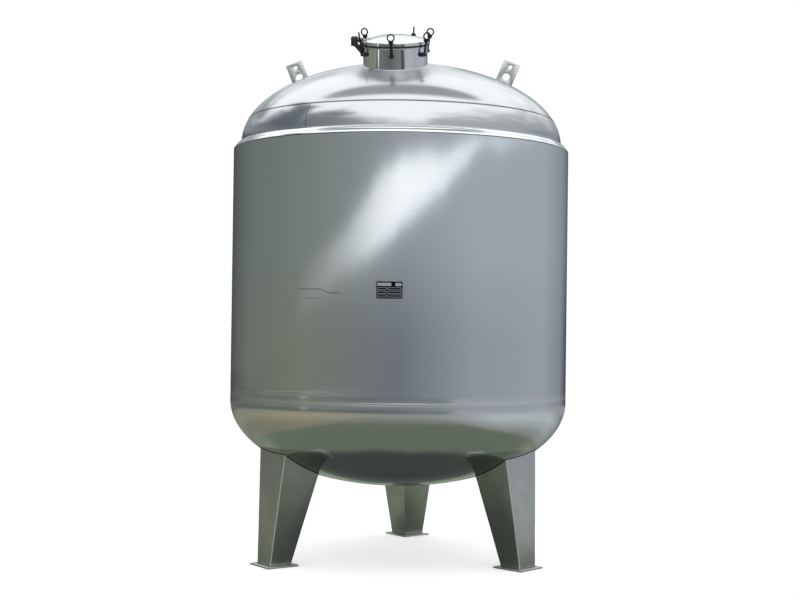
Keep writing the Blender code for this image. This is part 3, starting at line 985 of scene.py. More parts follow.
@dataclass
class InsulationJacket:
    """The outer skin: a rolled wall, a pressed bottom head and the folded ring that closes it at the top."""

    skin: float = 1.0994
    sheet: float = 0.005
    top: float = 2.65
    weld_height: float = 1.06
    weld_half: float = 0.006
    seam_gap: float = 0.01
    seam_width: float = 0.008
    weld_pull: Outline = (
        (0.0, -0.0009), (0.006, -0.0007), (0.014, -0.00035), (0.024, -0.0001),
        (0.040, 0.00015), (0.065, 0.00018), (0.100, 0.00008), (0.140, 0.0),
    )
    ring_sheet: float = 0.004
    ring_fold_rise: float = 0.020
    ring_fold_inset: float = 0.014
    ring_top: float = 2.698
    ring_seam: float = 0.0018
    steps: int = 256

    def build(self) -> None:
        """Builds and dresses the wall, the bottom head and the closure ring."""
        self.build_wall()
        self.build_bottom()
        self.build_ring()

    def build_wall(self) -> None:
        """Rolls the wall, with its top edge eased and its upright seam at the back."""
        skin, top, inside, low = self.skin, self.top, self.skin - self.sheet, self.weld_height + FIT
        outline = [(skin + off, low + up) for up, off in self.weld_pull]
        outline += [(skin, low + 0.2 * i) for i in range(1, 8)]
        outline += [(skin, top - 0.006), (skin, top - 0.0045), (skin, top - 0.003)]
        outline += [(skin - 0.0008, top - 0.0008), (skin - 0.002, top), (inside, top), (inside, low)]
        wall = turned("jacket_wall", outline, self.steps)
        dress(wall, JACKET_SHEET, nodes=halves("jacket_shell"))
        low, high = self.weld_height + self.seam_gap, top - self.seam_gap
        rise = [(-0.002, low), (0.0004, low + 0.004), (0.0005, (low + high) / 2)]
        rise += [(0.0004, high - 0.004), (-0.002, high)]
        seam = cut_plate("jacket_upright_seam", rise, self.seam_width)
        dress(settle(seam, Matrix.Translation((0, skin, 0)), 60), WELD)

    def build_bottom(self) -> None:
        """Presses the bottom head, and lays the round seam where the wall stands on it."""
        skin, flange, half = self.skin, self.weld_height, self.weld_half
        inset = JACKET_BOTTOM.radius - skin
        edge = [(skin - 0.0001, flange - 0.018), (skin - 0.0004, flange - 0.010), (skin - 0.0009, flange)]
        outline = JACKET_BOTTOM.arc(inset, 56)[::-1] + edge + [(skin - self.sheet, flange)]
        bottom = turned("jacket_bottom", outline + JACKET_BOTTOM.arc(inset + self.sheet, 40), self.steps)
        dress(bottom, BOTTOM_SHEET, nodes=halves("jacket_bottom_head"))
        face = skin - 0.0007
        rise = [(-0.002, -half), (0, -half), (0.0005, -half / 2), (0.0006, 0)]
        rise += [(out, -up) for out, up in rise[2::-1]]
        section = [(face + out, flange + up) for out, up in rise]
        seam = turned("jacket_round_seam", section, self.steps, angle=70)
        dress(seam, BOTTOM_SHEET)

    def build_ring(self) -> None:
        """Folds the closure ring, from the jacket's top edge over to the vessel."""
        skin, low, thick = self.skin, self.top + FIT, self.ring_sheet
        edge, fold = skin - self.ring_fold_inset, low + self.ring_fold_rise
        inner, top = VESSEL_TOP.radius + FIT, self.ring_top
        outline = [
            (skin - 0.0015, low), (skin - 0.0005, low + 0.0012), (skin - 0.0008, low + 0.0025),
            (edge + 0.0012, fold - 0.0016), (edge - 0.0006, fold - 0.0002), (edge - 0.0016, fold - 0.0006),
            (edge - 0.0026, fold + 0.0004), (edge - 0.0076, fold + 0.0080), (edge - 0.0116, fold + 0.0132),
            (edge - 0.0170, fold + 0.0178), (inner + 0.006, top - 0.0012), (inner, top),
            (inner, top - 1.3 * thick), (edge - 1.2 * thick, fold - thick), (skin - 1.8 * thick, low),
        ]
        ring = turned("closure_ring", outline, self.steps, angle=50)
        dress(ring, RING_PLATE, nodes=["jacket_closure_ring"])
        # A dark bead of weld metal along the fold is painted shade: it draws the fold's shade line.
        seam, out, up = self.ring_seam, edge - 0.001, fold - 0.0012
        section = [(out + seam * cos(a), up + seam * sin(a)) for a in (2 * pi * i / 8 for i in range(8))]
        dress(turned("closure_ring_seam", section, self.steps, angle=80), WELD)


@dataclass
class Vessel:
    """The vessel inside the jacket, with its dished top in view."""

    plate: float = 0.006
    weld_gap: float = 0.040
    seam_radius: float = 1.006
    seam_bead: float = 0.0022
    seam_azimuths: tuple[float, ...] = (-34.0, 146.0)
    steps: int = 256
    hidden_steps: int = 128

    def build(self, manway_seat: Matrix, neck_radius: float) -> None:
        """Builds and dresses the top head, the wall and the bottom head.

        Args:
            manway_seat: where the neck goes through the top head.
            neck_radius: the neck's outer radius.
        """
        self.build_top(manway_seat, neck_radius)
        radius, inside = VESSEL_TOP.radius, VESSEL_TOP.radius - self.plate
        low, high = VESSEL_BOTTOM.tangent + self.weld_gap, VESSEL_TOP.tangent - self.weld_gap
        band = [(radius, low + FIT), (radius, high - FIT), (inside, high - FIT), (inside, low + FIT)]
        wall = turned("vessel_wall", band, self.hidden_steps)
        dress(wall, INSIDE_PLATE, nodes=halves("vessel_shell"))
        outer, inner = VESSEL_BOTTOM.skins(self.plate, 24)
        bottom = turned("vessel_bottom", outer + [(radius, low), (inside, low)] + inner, self.hidden_steps)
        nodes = ["vessel_bottom_crown", *halves("vessel_bottom_knuckle")]
        dress(bottom, INSIDE_PLATE, nodes=nodes)

    def build_top(self, manway_seat: Matrix, neck_radius: float) -> None:
        """Presses the top head, cuts the manway's hole and lays its seams.

        Args:
            manway_seat: where the neck goes through the top head.
            neck_radius: the neck's outer radius.
        """
        outer, inner = VESSEL_TOP.skins(self.plate, 56)
        flange = VESSEL_TOP.tangent - self.weld_gap
        outline = outer + [(VESSEL_TOP.radius, flange), (VESSEL_TOP.radius - self.plate, flange)] + inner
        head = turned("top_head", outline, self.steps)
        hole = round_bar("manway_hole", neck_radius + 2 * FIT, 0.4, steps=96)
        hole.matrix_world = manway_seat
        cut(head, hole)
        dress(settle(head), TOP_PLATE, nodes=["vessel_top_head"])
        height = VESSEL_TOP.height(self.seam_radius) - 0.0012
        ring = [around(self.seam_radius, 2 * pi * i / 192, height) for i in range(192)]
        dress(bead("top_head_round_seam", ring, self.seam_bead), WELD)
        seam = join([self.petal_seam(azimuth) for azimuth in self.seam_azimuths])
        seam.name = seam.data.name = "top_head_petal_seams"
        dress(seam, WELD)

    def petal_seam(self, azimuth: float) -> Object:
        """Lays one upright seam on the knuckle, from the closure ring to the round seam.

        Args:
            azimuth: degrees round from the front.

        Returns:
            The seam.
        """
        first, last = 0.02, acos(self.seam_radius / VESSEL_TOP.radius)
        angles = [first + (last - first) * i / 12 for i in range(13)]
        skins = []
        for inset in (-0.0006, 0.002):
            wide, deep = VESSEL_TOP.radius - inset, VESSEL_TOP.radius / 2 - inset
            skins.append([(-wide * cos(a), VESSEL_TOP.tangent + deep * sin(a)) for a in angles])
        seam = cut_plate("petal_seam", skins[0] + skins[1][::-1], 0.0035)
        return settle(seam, Matrix.Rotation(radians(azimuth), 4, "Z"), 60)


@dataclass
class Manway:
    """The neck on the top head with its flange, gasket, domed lid and hinge."""

    offset: float = 0.560
    azimuth: float = -5.1
    twist: float = -2.0
    neck_radius: float = 0.200
    neck_wall: float = 0.004
    neck_bottom: float = -0.035
    neck_top: float = 0.108
    flange_radius: float = 0.208
    flange_thick: float = 0.010
    flange_ease: float = 0.0034
    gasket_radius: float = 0.2055
    gasket_thick: float = 0.006
    lid_radius: float = 0.2095
    rim_width: float = 0.015
    rim_height: float = 0.023
    rim_ease: float = 0.003
    crown: float = 0.034
    lid_sheet: float = 0.004
    hinge_angle: float = 270.0
    hinge_out: float = 0.255
    hinge_up: float = 0.155
    hinge_foot: tuple[float, float] = (0.050, 0.096)
    hinge_ease: float = 0.0008
    pin_radius: float = 0.006
    pin_end: float = 0.003
    clearance: float = 0.0004
    eye_radius: float = 0.013
    arm_width: float = 0.040
    arm_thick: float = 0.008
    arm_rise: float = 0.006
    arm_overlap: float = 0.013
    ear: float = 0.006
    ear_gap: float = 0.001
    steps: int = 128

    @property
    def seat(self) -> Matrix:
        """Where the neck's axis meets the head, turned as its bolts are."""
        return VESSEL_TOP.seat(self.offset, self.azimuth) @ Matrix.Rotation(radians(self.twist), 4, "Z")

    @property
    def lid_low(self) -> float:
        """The height of the lid's underside over the seat."""
        return self.neck_top + self.flange_thick + self.gasket_thick + 3 * FIT

    @property
    def hinge_seat(self) -> Matrix:
        """The hinge pin's place, with X along the pin and Y towards the lid."""
        return self.seat @ standing(self.hinge_out, self.hinge_angle, self.hinge_up)

    def build(self) -> None:
        """Builds and dresses the neck, flange, gasket, lid and hinge."""
        self.build_neck()
        self.build_lid()
        self.build_hinge()

    def ring(self, name: str, outline: Outline, angle: float = 30.0) -> Object:
        """Turns one of the manway's rings in its place."""
        return turned(name, outline, self.steps, self.seat, angle)

    def build_neck(self) -> None:
        """Turns the neck, its flange and the gasket, and lays the weld at its foot."""
        neck, bore = self.neck_radius, self.neck_radius - self.neck_wall
        low, high = self.neck_bottom, self.neck_top
        outline = [(neck, low), (neck, high), (bore, high), (bore, low)]
        dress(self.ring("manway_neck_ring", outline), NECK_STEEL, nodes=["manway_neck"])
        rim, ease, low = self.flange_radius, self.flange_ease, high + FIT
        high = low + self.flange_thick
        outline = [
            (bore, low), (neck + 0.001, low), (rim - ease, low + 0.001),
            (rim - 0.3 * ease, low + 0.001 + 0.3 * ease), (rim, low + 0.001 + ease), (rim, high - ease),
            (rim - 0.3 * ease, high - 0.3 * ease), (rim - ease, high), (bore + ease, high),
            (bore, high - ease),
        ]
        dress(self.ring("manway_flange_ring", outline, 40), NECK_STEEL, nodes=["manway_flange"])
        rim, low = self.gasket_radius, high + FIT
        high = low + self.gasket_thick
        middle = (low + high) / 2
        outline = [
            (bore + 0.001, low), (rim - 0.001, low), (rim + 0.0023, low - 0.0012),
            (rim + 0.0035, low - 0.002), (rim + 0.004, middle), (rim + 0.0034, high + 0.0018),
            (rim + 0.0021, high + 0.0006), (rim - 0.001, high), (bore + 0.001, high), (bore, middle),
        ]
        dress(self.ring("manway_gasket_ring", outline, 50), RUBBER, nodes=["manway_gasket"])
        turns = (2 * pi * i / 120 for i in range(120))
        spots = [((neck + 0.001) * cos(turn), (neck + 0.001) * sin(turn)) for turn in turns]
        foot = [VESSEL_TOP.foot(self.seat, x, y) for x, y in spots]
        dress(bead("manway_foot_weld", foot, BEAD), NECK_STEEL)

    def build_lid(self) -> None:
        """Presses the dished lid and its thick rim, with a groove where the two meet."""
        low, radius, ease = self.lid_low, self.lid_radius, self.rim_ease
        high, inside, groove = low + self.rim_height, radius - self.rim_width, radius - 0.0028
        dish_radius = (inside**2 + self.crown**2) / (2 * self.crown)
        centre = high + self.crown - dish_radius
        angles = [asin(inside / dish_radius) * i / 20 for i in range(20)]
        skins = (dish_radius, dish_radius - self.lid_sheet)
        outer, inner = ([(r * sin(a), centre + r * cos(a)) for a in angles] for r in skins)
        rim = [
            (inside + 0.0002, high - 0.0026), (inside + 0.0022, high - 0.0026),
            (inside + 0.0034, high - 0.0002), (radius - ease, high),
            (radius - 0.3 * ease, high - 0.3 * ease), (radius, high - 0.8 * ease),
            (groove, high - 1.1 * ease), (groove, high - 2.1 * ease), (radius, high - 2.4 * ease),
            (radius, low + 0.0036), (radius - 0.0034, low), (inside, low),
        ]
        lid = self.ring("manway_lid_dish", outer + rim + inner[::-1], 35)
        dress(lid, NECK_STEEL, Body.LID.value, ["manway_lid"])

    def build_hinge(self) -> None:
        """Builds the lid's arm and the ears that hold its pin."""
        drop = self.lid_low + self.rim_height + FIT - self.hinge_up
        reach, top = self.hinge_out - self.lid_radius + self.arm_overlap, drop + self.arm_thick
        near = self.eye_radius * 0.6
        outline = [(reach, drop), (reach, drop + 0.7 * self.arm_thick), (reach - 0.004, top)]
        arm = cut_plate("lid_arm", outline + [(near, top + self.arm_rise), (near, drop)], self.arm_width)
        cut(arm, round_bar("arm_eye", self.eye_radius, self.arm_width, "X", 32), "UNION")
        cut(arm, round_bar("arm_bore", self.pin_radius + self.clearance, 2 * self.arm_width, "X", 32))
        ease_edges(arm, self.hinge_ease)
        dress(settle(arm, self.hinge_seat), FITTING_STEEL, Body.LID.value, ["lid_hinge_arm"])
        wall = self.hinge_out - self.neck_radius + 0.001
        outline = [(wall, up - self.hinge_up) for up in self.hinge_foot]
        outline += [(0.018, -0.034), (0.018, 0.010), (0.015, 0.013), (-0.015, 0.013), (-0.018, 0.010)]
        outline += [(-0.018, -0.040), (-0.015, -0.043), (0.0, -0.043)]
        inside = self.arm_width / 2 + self.ear_gap
        parts = []
        for side in (-1, 1):
            parts.append(cut_plate("hinge_ears", outline, self.ear))
            parts[-1].location.x = side * (inside + self.ear / 2)
        ears = join(parts)
        bpy.ops.object.transform_apply(location=True)
        ease_edges(ears, self.hinge_ease)
        ears = join([ears, turned_pin("hinge_pin", self.pin_radius, 2 * (inside + self.ear + self.pin_end))])
        dress(settle(ears, self.hinge_seat), FITTING_STEEL, nodes=["hinge_bracket"])


@dataclass
class SwingBolts:
    """Six swing bolts with eye nuts, each on a clevis welded to the neck."""

    manway: Manway
    angles: tuple[float, ...] = (0.0, 60.0, 120.0, 157.0, 240.0, 300.0)
    ring_turns: tuple[float, ...] = (7.0, -28.0, 67.0, -60.0, -29.0, -23.0)
    circle: float = 0.2205
    pivot_height: float = 0.070
    lean: float = 9.5
    shank_radius: float = 0.007
    shank_low: float = 0.008
    thread_start: float = 0.030
    pitch: float = 0.0025
    eye_radius: float = 0.012
    eye_width: float = 0.015
    eye_ease: float = 0.0015
    nut_radius: float = 0.0150
    nut_height: float = 0.016
    nut_ease: float = 0.0018
    nut_grip: float = 0.0015
    thread_depth: float = 0.011
    ring_radius: float = 0.0205
    wire_radius: float = 0.0045
    ring_sink: float = 0.0045
    ear: float = 0.006
    gap: float = 0.0005
    clevis_root: float = 0.013
    clevis_nose: Outline = ((0.004, 0.0115), (-0.001, 0.0105), (-0.006, 0.0085), (-0.009, 0.005))
    clevis_reach: float = 0.0152
    clevis_ease: float = 0.0006

    @property
    def nut_low(self) -> float:
        """The nut's underside, over the pivot."""
        return self.manway.lid_low + self.manway.rim_height - self.pivot_height + self.nut_grip

    def build(self) -> None:
        """Builds one bolt, nut and clevis, and copies them round the neck."""
        bolt, nut, clevis = self.make_bolt(), self.make_nut(), self.make_clevis()
        for number, (angle, ring_turn) in enumerate(zip(self.angles, self.ring_turns), 1):
            seat = self.manway.seat @ standing(self.circle, angle, self.pivot_height)
            swing = seat @ Matrix.Rotation(radians(self.lean), 4, "X")
            screwed = swing @ Matrix.Rotation(radians(ring_turn), 4, "Z")
            for pattern, name, place, node in (
                (bolt, "bolt_shank", swing, "swing_bolt"),
                (nut, "ring_nut", screwed, "eye_nut"),
            ):
                made = copy_of(pattern, f"{name}_{number}", place)
                dress(made, BOLT_STEEL, f"bolt_{number}", [f"{node}_{number}"])
            made = copy_of(clevis, f"bolt_clevis_{number}", seat)
            dress(made, FITTING_STEEL, nodes=[f"bolt_bracket_{number}"])
        for pattern in (bolt, nut, clevis):
            bpy.data.objects.remove(pattern, do_unlink=True)

    def make_bolt(self) -> Object:
        """Turns a shank with its thread and joins it to its eye.

        Returns:
            The bolt, with its pivot at the origin.
        """
        top, crest = self.nut_low + self.thread_depth - FIT, self.shank_radius
        start, pitch = self.thread_start, self.pitch
        outline = [(0.0, self.shank_low), (crest - 0.0006, self.shank_low), (crest - 0.0006, start)]
        for i in range(int((top - 0.002 - start) / pitch)):
            height = start + pitch * i
            outline += [(crest, height + 0.35 * pitch), (crest - 0.001, height + pitch)]
        outline += [(crest - 0.0014, top), (0.0, top)]
        shank = turned("bolt_pattern", outline, 24, angle=25)
        bore, half = self.manway.pin_radius + self.manway.clearance, self.eye_width / 2
        rim, ease = self.eye_radius, self.eye_ease
        section = [(bore, -half), (rim - ease, -half), (rim, ease - half)]
        section += [(radius, -height) for radius, height in section[::-1]]
        return join([shank, turned("bolt_eye", section, 40, Matrix.Rotation(pi / 2, 4, "Y"))])

    def make_nut(self) -> Object:
        """Turns the round collar and joins it to its lifting ring.

        Returns:
            The nut, with the bolt's pivot at the origin.
        """
        low, high, end = self.nut_low, self.nut_low + self.nut_height, self.nut_low + self.thread_depth
        bore, rim, ease = self.shank_radius + FIT, self.nut_radius, self.nut_ease
        outline = [
            (0.0, high + 0.004), (0.0055, high + 0.003), (0.0075, high), (rim - ease, high),
            (rim, high - ease), (rim, low + ease), (rim - ease, low), (bore + 0.001, low),
            (bore, low + 0.001), (bore, end), (0.0, end),
        ]
        collar = turned("nut_pattern", outline, 32)
        deselect_all()
        bpy.ops.mesh.primitive_torus_add(
            major_radius=self.ring_radius,
            minor_radius=self.wire_radius,
            major_segments=40,
            minor_segments=14,
            location=(0, 0, high + self.ring_radius + self.wire_radius - self.ring_sink),
            rotation=(pi / 2, 0, 0),
        )
        return join([collar, settle(bpy.context.object, angle=60)])

    def make_clevis(self) -> Object:
        """Cuts the clevis, rounds its nose and sets its pin.

        Returns:
            The clevis, with its pin at the origin.
        """
        inside = self.eye_width / 2 + self.gap
        half, wall = inside + self.ear, self.circle - self.manway.neck_radius + 0.001
        outline = [(wall, -self.clevis_root), (wall, self.clevis_root), *self.clevis_nose]
        outline += [(y, -z) for y, z in outline[:1:-1]]
        block = cut_plate("clevis_pattern", outline, 2 * half)
        reach, far = self.clevis_reach, 0.03
        slot = cut_plate("clevis_slot", [(reach, -far), (reach, far), (-far, far), (-far, -far)], 2 * inside)
        cut(block, slot)
        ease_edges(block, self.clevis_ease)
        pin = turned_pin("clevis_pin", self.manway.pin_radius, 2 * (half + self.manway.pin_end))
        return join([settle(block), pin])


@dataclass
class Lugs:
    """Two drilled lifting lugs on the top head."""

    azimuths: tuple[tuple[str, float], ...] = (("left", -96.0), ("right", 84.0))
    offset: float = 0.666
    width: float = 0.112
    height: float = 0.160
    thick: float = 0.012
    corner: float = 0.006
    sink: float = 0.004
    ease: float = 0.0007
    bead_step: float = 0.006
    holes: tuple[tuple[float, float], ...] = ((0.127, 0.0135), (0.058, 0.024))

    def build(self) -> None:
        """Cuts, drills and welds on both lugs."""
        for name, azimuth in self.azimuths:
            seat = VESSEL_TOP.seat(self.offset, azimuth)
            self.build_plate(name, seat)
            across, along = self.thick / 2 + 0.001, self.width / 2 + 0.001
            corners = [(-across, -along), (across, -along), (across, along), (-across, along)]
            path = [VESSEL_TOP.foot(seat, x, y) for x, y in walk_round(corners, self.bead_stops)]
            dress(bead(f"lug_weld_{name}", path, BEAD), WELD)

    def bead_stops(self, length: float) -> list[float]:
        """Gives the shares of a side of a length where the bead's points lie."""
        pieces = max(2, round(length / self.bead_step))
        return [i / pieces for i in range(pieces)]

    def build_plate(self, name: str, seat: Matrix) -> None:
        """Cuts a lug to the head and drills it.

        Args:
            name: left or right.
            seat: its place on the head.
        """
        half, corner, top = self.width / 2, self.corner, self.height
        right = [(half - corner, top), (half - 0.3 * corner, top - 0.3 * corner)]
        right += [(half, top - corner), (half, -self.sink)]
        outline = [(-y, z) for y, z in reversed(right)] + right
        lug = cut_plate(f"lug_plate_{name}", outline, self.thick)
        for height, radius in self.holes:
            drill = round_bar("lug_drill", radius, 4 * self.thick, "X", 48)
            drill.location.z = height
            cut(lug, drill)
        ease_edges(lug, self.ease)
        dress(settle(lug, seat), LUG_PLATE, nodes=[f"lifting_lug_{name}"])


@dataclass(frozen=True)
class LegPlace:
    """Where a leg stands and which way its box faces, in degrees round from the front."""

    name: str
    azimuth: float
    facing: float


@dataclass
class Legs:
    """Three tapered box legs, folded from plate, on square foot plates."""

    places: tuple[LegPlace, ...] = (
        LegPlace("left", -61.0, -54.5),
        LegPlace("right", 60.0, 46.0),
        LegPlace("back", 174.0, 127.0),
    )
    circle: float = 0.880
    foot_side: float = 0.156
    top_side: float = 0.315
    lean_in: float = 0.130
    top: float = 0.780
    trim_inset: float = 0.0009
    trim_top: float = 1.3
    fold: float = 0.007
    plate_side: float = 0.222
    plate_thick: float = 0.010
    plate_ease: float = 0.0012
    foot_bead: float = 0.003

    def build(self) -> None:
        """Folds the three legs, trims them to the head and sets them on their plates."""
        for place in self.places:
            self.build_leg(place)
            self.build_welds(place)
            self.build_plate(place)

    def corner(self, place: LegPlace, x: float, y: float, height: float) -> Vector:
        """Gives a point of a leg's tapered box.

        Args:
            place: which leg.
            x: across the box, from -1 to 1.
            y: along it, from -1 to 1.
            height: above the floor.

        Returns:
            The point.
        """
        low = self.plate_thick + FIT
        share = (height - low) / (self.top - low)
        half = (self.foot_side + (self.top_side - self.foot_side) * share) / 2
        centre = around(self.circle - self.lean_in * share, radians(place.azimuth), height)
        return centre + Matrix.Rotation(radians(place.facing), 3, "Z") @ Vector((x * half, y * half, 0))

    def build_leg(self, place: LegPlace) -> None:
        """Folds one leg with rounded corners and trims it to the head.

        Args:
            place: which leg.
        """
        deselect_all()
        bpy.ops.mesh.primitive_cube_add(size=2)
        leg = named(f"leg_box_{place.name}")
        with editing(leg) as mesh:
            for vert in mesh.verts:
                high = self.top if vert.co.z > 0 else self.plate_thick + FIT
                vert.co = self.corner(place, vert.co.x, vert.co.y, high)
            for edge in mesh.edges:
                first, second = (vert.co.z for vert in edge.verts)
                if abs(first - second) > 0.1:
                    edge.select_set(True)
            bmesh.update_edit_mesh(leg.data)
            bpy.ops.mesh.select_mode(type="EDGE")
            bpy.ops.mesh.bevel(offset=self.fold, offset_type="OFFSET", segments=5, affect="EDGES")
        inset, high = self.trim_inset, self.trim_top
        trimmer = JACKET_BOTTOM.arc(inset, 48)[::-1] + [(JACKET_BOTTOM.radius - inset, high), (0.0, high)]
        cut(leg, turned("leg_trimmer", trimmer, 192))
        dress(settle(leg, angle=40), LEG_PLATE, nodes=[f"leg_{place.name}"])
        self.rub_folds(leg, place)

    def rub_folds(self, leg: Object, place: LegPlace) -> None:
        """Gives the folded corners their lighter finish: rubbing, and a painted highlight along the bends.

        Args:
            leg: the finished leg.
            place: which leg.
        """
        leg.data.materials.append(FOLD_STEEL.material())
        turn = Matrix.Rotation(-radians(place.facing), 3, "Z")
        for face in leg.data.polygons:
            across = turn @ face.normal
            if min(abs(across.x), abs(across.y)) > 0.25 and abs(across.z) < 0.5:
                face.material_index = 1

    def build_welds(self, place: LegPlace) -> None:
        """Lays the welds round a leg's top and foot.

        Args:
            place: which leg.
        """
        shares = [0.02 + 0.96 * i / 13 for i in range(14)]
        top, foot = [], []
        for x, y in walk_round([(-1, -1), (1, -1), (1, 1), (-1, 1)], lambda length: shares):
            spot = partial(self.corner, place, x, y)
            top.append(solve(spot, JACKET_BOTTOM.level, 0.3, 0.95 * self.top + 0.2))
            foot.append(spot(self.plate_thick))
        dress(bead(f"leg_top_weld_{place.name}", top, BEAD), WELD)
        dress(bead(f"leg_foot_weld_{place.name}", foot, self.foot_bead), WELD)

    def build_plate(self, place: LegPlace) -> None:
        """Shears a foot plate with its edges slightly eased.

        Args:
            place: which leg.
        """
        deselect_all()
        bpy.ops.mesh.primitive_cube_add(size=1)
        plate = named(f"foot_{place.name}")
        plate.scale = (self.plate_side, self.plate_side, self.plate_thick)
        bpy.ops.object.transform_apply(scale=True)
        ease_edges(plate, self.plate_ease)
        spot = around(self.circle, radians(place.azimuth), self.plate_thick / 2)
        settle(plate, Matrix.Translation(spot) @ Matrix.Rotation(radians(place.facing), 4, "Z"))
        dress(plate, FOOT_PLATE, nodes=[f"foot_plate_{place.name}"])


@dataclass(frozen=True)
class Panel:
    """A flat shape with round corners: its middle on the plate, sideways and upwards, and its size."""

    u: float
    v: float
    wide: float
    tall: float
    corner: float

    def shrunk(self, line: float) -> "Panel":
        """Gives the same shape with a line's width off all round."""
        wide, tall, corner = self.wide - 2 * line, self.tall - 2 * line, max(self.corner - line, 0.0006)
        return Panel(self.u, self.v, wide, tall, corner)

    def outline(self) -> list[tuple[float, float]]:
        """Gives its corners' points, from the lower right one round.

        Returns:
            (sideways, upwards) points.
        """
        points = []
        for right, up, start in ((1, -1, -90), (1, 1, 0), (-1, 1, 90), (-1, -1, 180)):
            x, z = right * (self.wide / 2 - self.corner), up * (self.tall / 2 - self.corner)
            for turn in (radians(start + 22.5 * i) for i in range(5)):
                points.append((self.u + x + self.corner * cos(turn), self.v + z + self.corner * sin(turn)))
        return points


@dataclass
class DataPlate:
    """The plate on the jacket: a black field with a bare border and blank boxes."""

    azimuth: float = -3.8
    height: float = 1.725
    field: Panel = Panel(0.0, 0.0, 0.165, 0.112, 0.012)
    border: Panel = Panel(0.0, 0.0, 0.163, 0.110, 0.012)
    bars: tuple[Panel, ...] = (
        Panel(-0.03, 0.033, 0.082, 0.018, 0.004),
        Panel(0.052, 0.033, 0.036, 0.018, 0.004),
    )
    box_columns: tuple[tuple[float, float], ...] = ((-0.044, 0.054), (0.03, 0.08))
    box_rows: tuple[float, ...] = (0.008, -0.013, -0.034)
    box_tall: float = 0.015
    box_corner: float = 0.003
    back: float = 1.1006
    thick: float = 0.0013
    raised: float = 0.0004
    border_line: float = 0.0045
    box_line: float = 0.0022
    columns: int = 12

    def build(self) -> None:
        """Builds the black field and all that is raised on it."""
        black = self.sheet("plate_field", self.field, 0.0, self.thick)
        dress(black, BLACK_SHEET, nodes=["name_plate"])
        parts = [self.line("plate_border", self.border, self.border_line)]
        parts += [self.sheet("plate_bar", bar, self.thick, self.thick + self.raised) for bar in self.bars]
        for v in self.box_rows:
            for u, wide in self.box_columns:
                box = Panel(u, v, wide, self.box_tall, self.box_corner)
                parts.append(self.line("plate_box", box, self.box_line))
        design = join(parts)
        design.name = design.data.name = "plate_border"
        dress(design, BARE_SHEET)

    def sheet(self, name: str, panel: Panel, low: float, high: float) -> Object:
        """Cuts a sheet with round corners and bends it to the jacket.

        Args:
            name: the piece's name.
            panel: its shape.
            low: its back, over the jacket.
            high: its face, over the jacket.

        Returns:
            The bent sheet.
        """
        obj = cut_plate(name, panel.outline(), high - low)
        with editing(obj):
            for i in range(1, self.columns):
                bpy.ops.mesh.select_all(action="SELECT")
                across = panel.u - panel.wide / 2 + panel.wide * i / self.columns
                bpy.ops.mesh.bisect(plane_co=(0, across, 0), plane_no=(0, 1, 0))
        with editing(obj) as mesh:
            for vert in mesh.verts:
                off, across, up = vert.co
                turn = radians(self.azimuth) + across / self.back
                vert.co = around(self.back + (low + high) / 2 + off, turn, self.height + up)
            bmesh.update_edit_mesh(obj.data)
        return settle(obj, angle=40)

    def line(self, name: str, panel: Panel, width: float) -> Object:
        """Cuts a raised line round a shape.

        Args:
            name: the piece's name.
            panel: its outer shape.
            width: how wide the line is.

        Returns:
            The bent line.
        """
        low, high = self.thick, self.thick + self.raised
        outer = self.sheet(name, panel, low, high)
        cut(outer, self.sheet("line_hole", panel.shrunk(width), low - 0.002, high + 0.002))
        return settle(outer, angle=40)


# What the bare steel mirrors. Rings go by metres from the tank, the rest by degrees round from the front.
# The two innermost, dark rings are the tank's painted shadow on the ground.
GROUND_RINGS = (
    (0.0, "#464b4a"), (0.86, "#4e5650"), (0.98, "#798574"), (2.35, "#7d8976"), (2.6, "#92968a"),
    (3.4, "#9da09a"), (4.4, "#afb3ae"), (7.2, "#abb0ac"), (9.5, "#8b908c"), (14.0, "#8b9094"),
)
GROUND_SIDES = (
    (-180, "#707270"), (-130, "#a8a79c"), (-60, "#c9c0a6"), (0, "#bcbcbc"), (35, "#c8ccce"),
    (60, "#e9eef9"), (115, "#e2e8f4"), (150, "#808488"), (180, "#707270"),
)
PAVING = (
    (-180, "#585c5a"), (-95, "#5c6361"), (-72, "#585e5c"), (-50, "#62676a"), (-20, "#555a58"),
    (15, "#6b7273"), (28, "#777e80"), (36, "#a2a5aa"), (110, "#a6a8ac"), (180, "#606264"),
)
SKY = {
    "low_horizon": (
        (-180, "#3e413f"), (-158, "#585d5a"), (-120, "#898e84"), (-70, "#95998b"), (0, "#8a9199"),
        (50, "#b5bdc5"), (110, "#bec6cf"), (140, "#9aa3ac"), (157, "#585c60"), (180, "#3e413f"),
    ),
    "high_horizon": (
        (-180, "#454846"), (-158, "#585d5a"), (-120, "#828e8b"), (-60, "#98a19b"), (0, "#b0b9bf"),
        (50, "#c6d1da"), (110, "#c7d0da"), (140, "#a4abb5"), (160, "#6c7177"), (180, "#454846"),
    ),
    "cloud_height": ((-75, 0.05), (-34, 0.29), (0, 0.515), (18, 0.575), (34, 0.625), (50, 0.72), (100, 0.76)),
    "cloud_depth": (
        (-75, 0.4), (-44, 0.45), (-12, 0.69), (4, 0.64), (18, 0.49), (34, 0.31), (50, 0.15), (100, 0.12),
    ),
    "cloud_share": (
        (-75, 0.0), (-51, 0.14), (-34, 0.37), (-17, 0.75), (0, 1.0),
        (18, 1.0), (34, 0.95), (60, 0.6), (100, 0.2), (140, 0.0),
    ),
    "haze_height": (
        (-150, 0.5), (-85, 0.4), (-52, 0.14), (-38, 0.3), (-12, 0.85),
        (14, 0.85), (30, 0.42), (60, 0.32), (90, 0.24), (130, 0.5),
    ),
    "haze": (
        (-180, "#a8b0b4"), (-140, "#959da2"), (-95, "#7b8388"), (-50, "#9ba1a3"), (-25, "#bcc1c3"),
        (0, "#d6dada"), (60, "#cdd2d2"), (120, "#c6cdd1"), (180, "#a8b0b4"),
    ),
    "hall": ((-128, 0.0), (-112, 0.7), (-104, 0.95), (-84, 1.0), (-79, 0.0)),
}
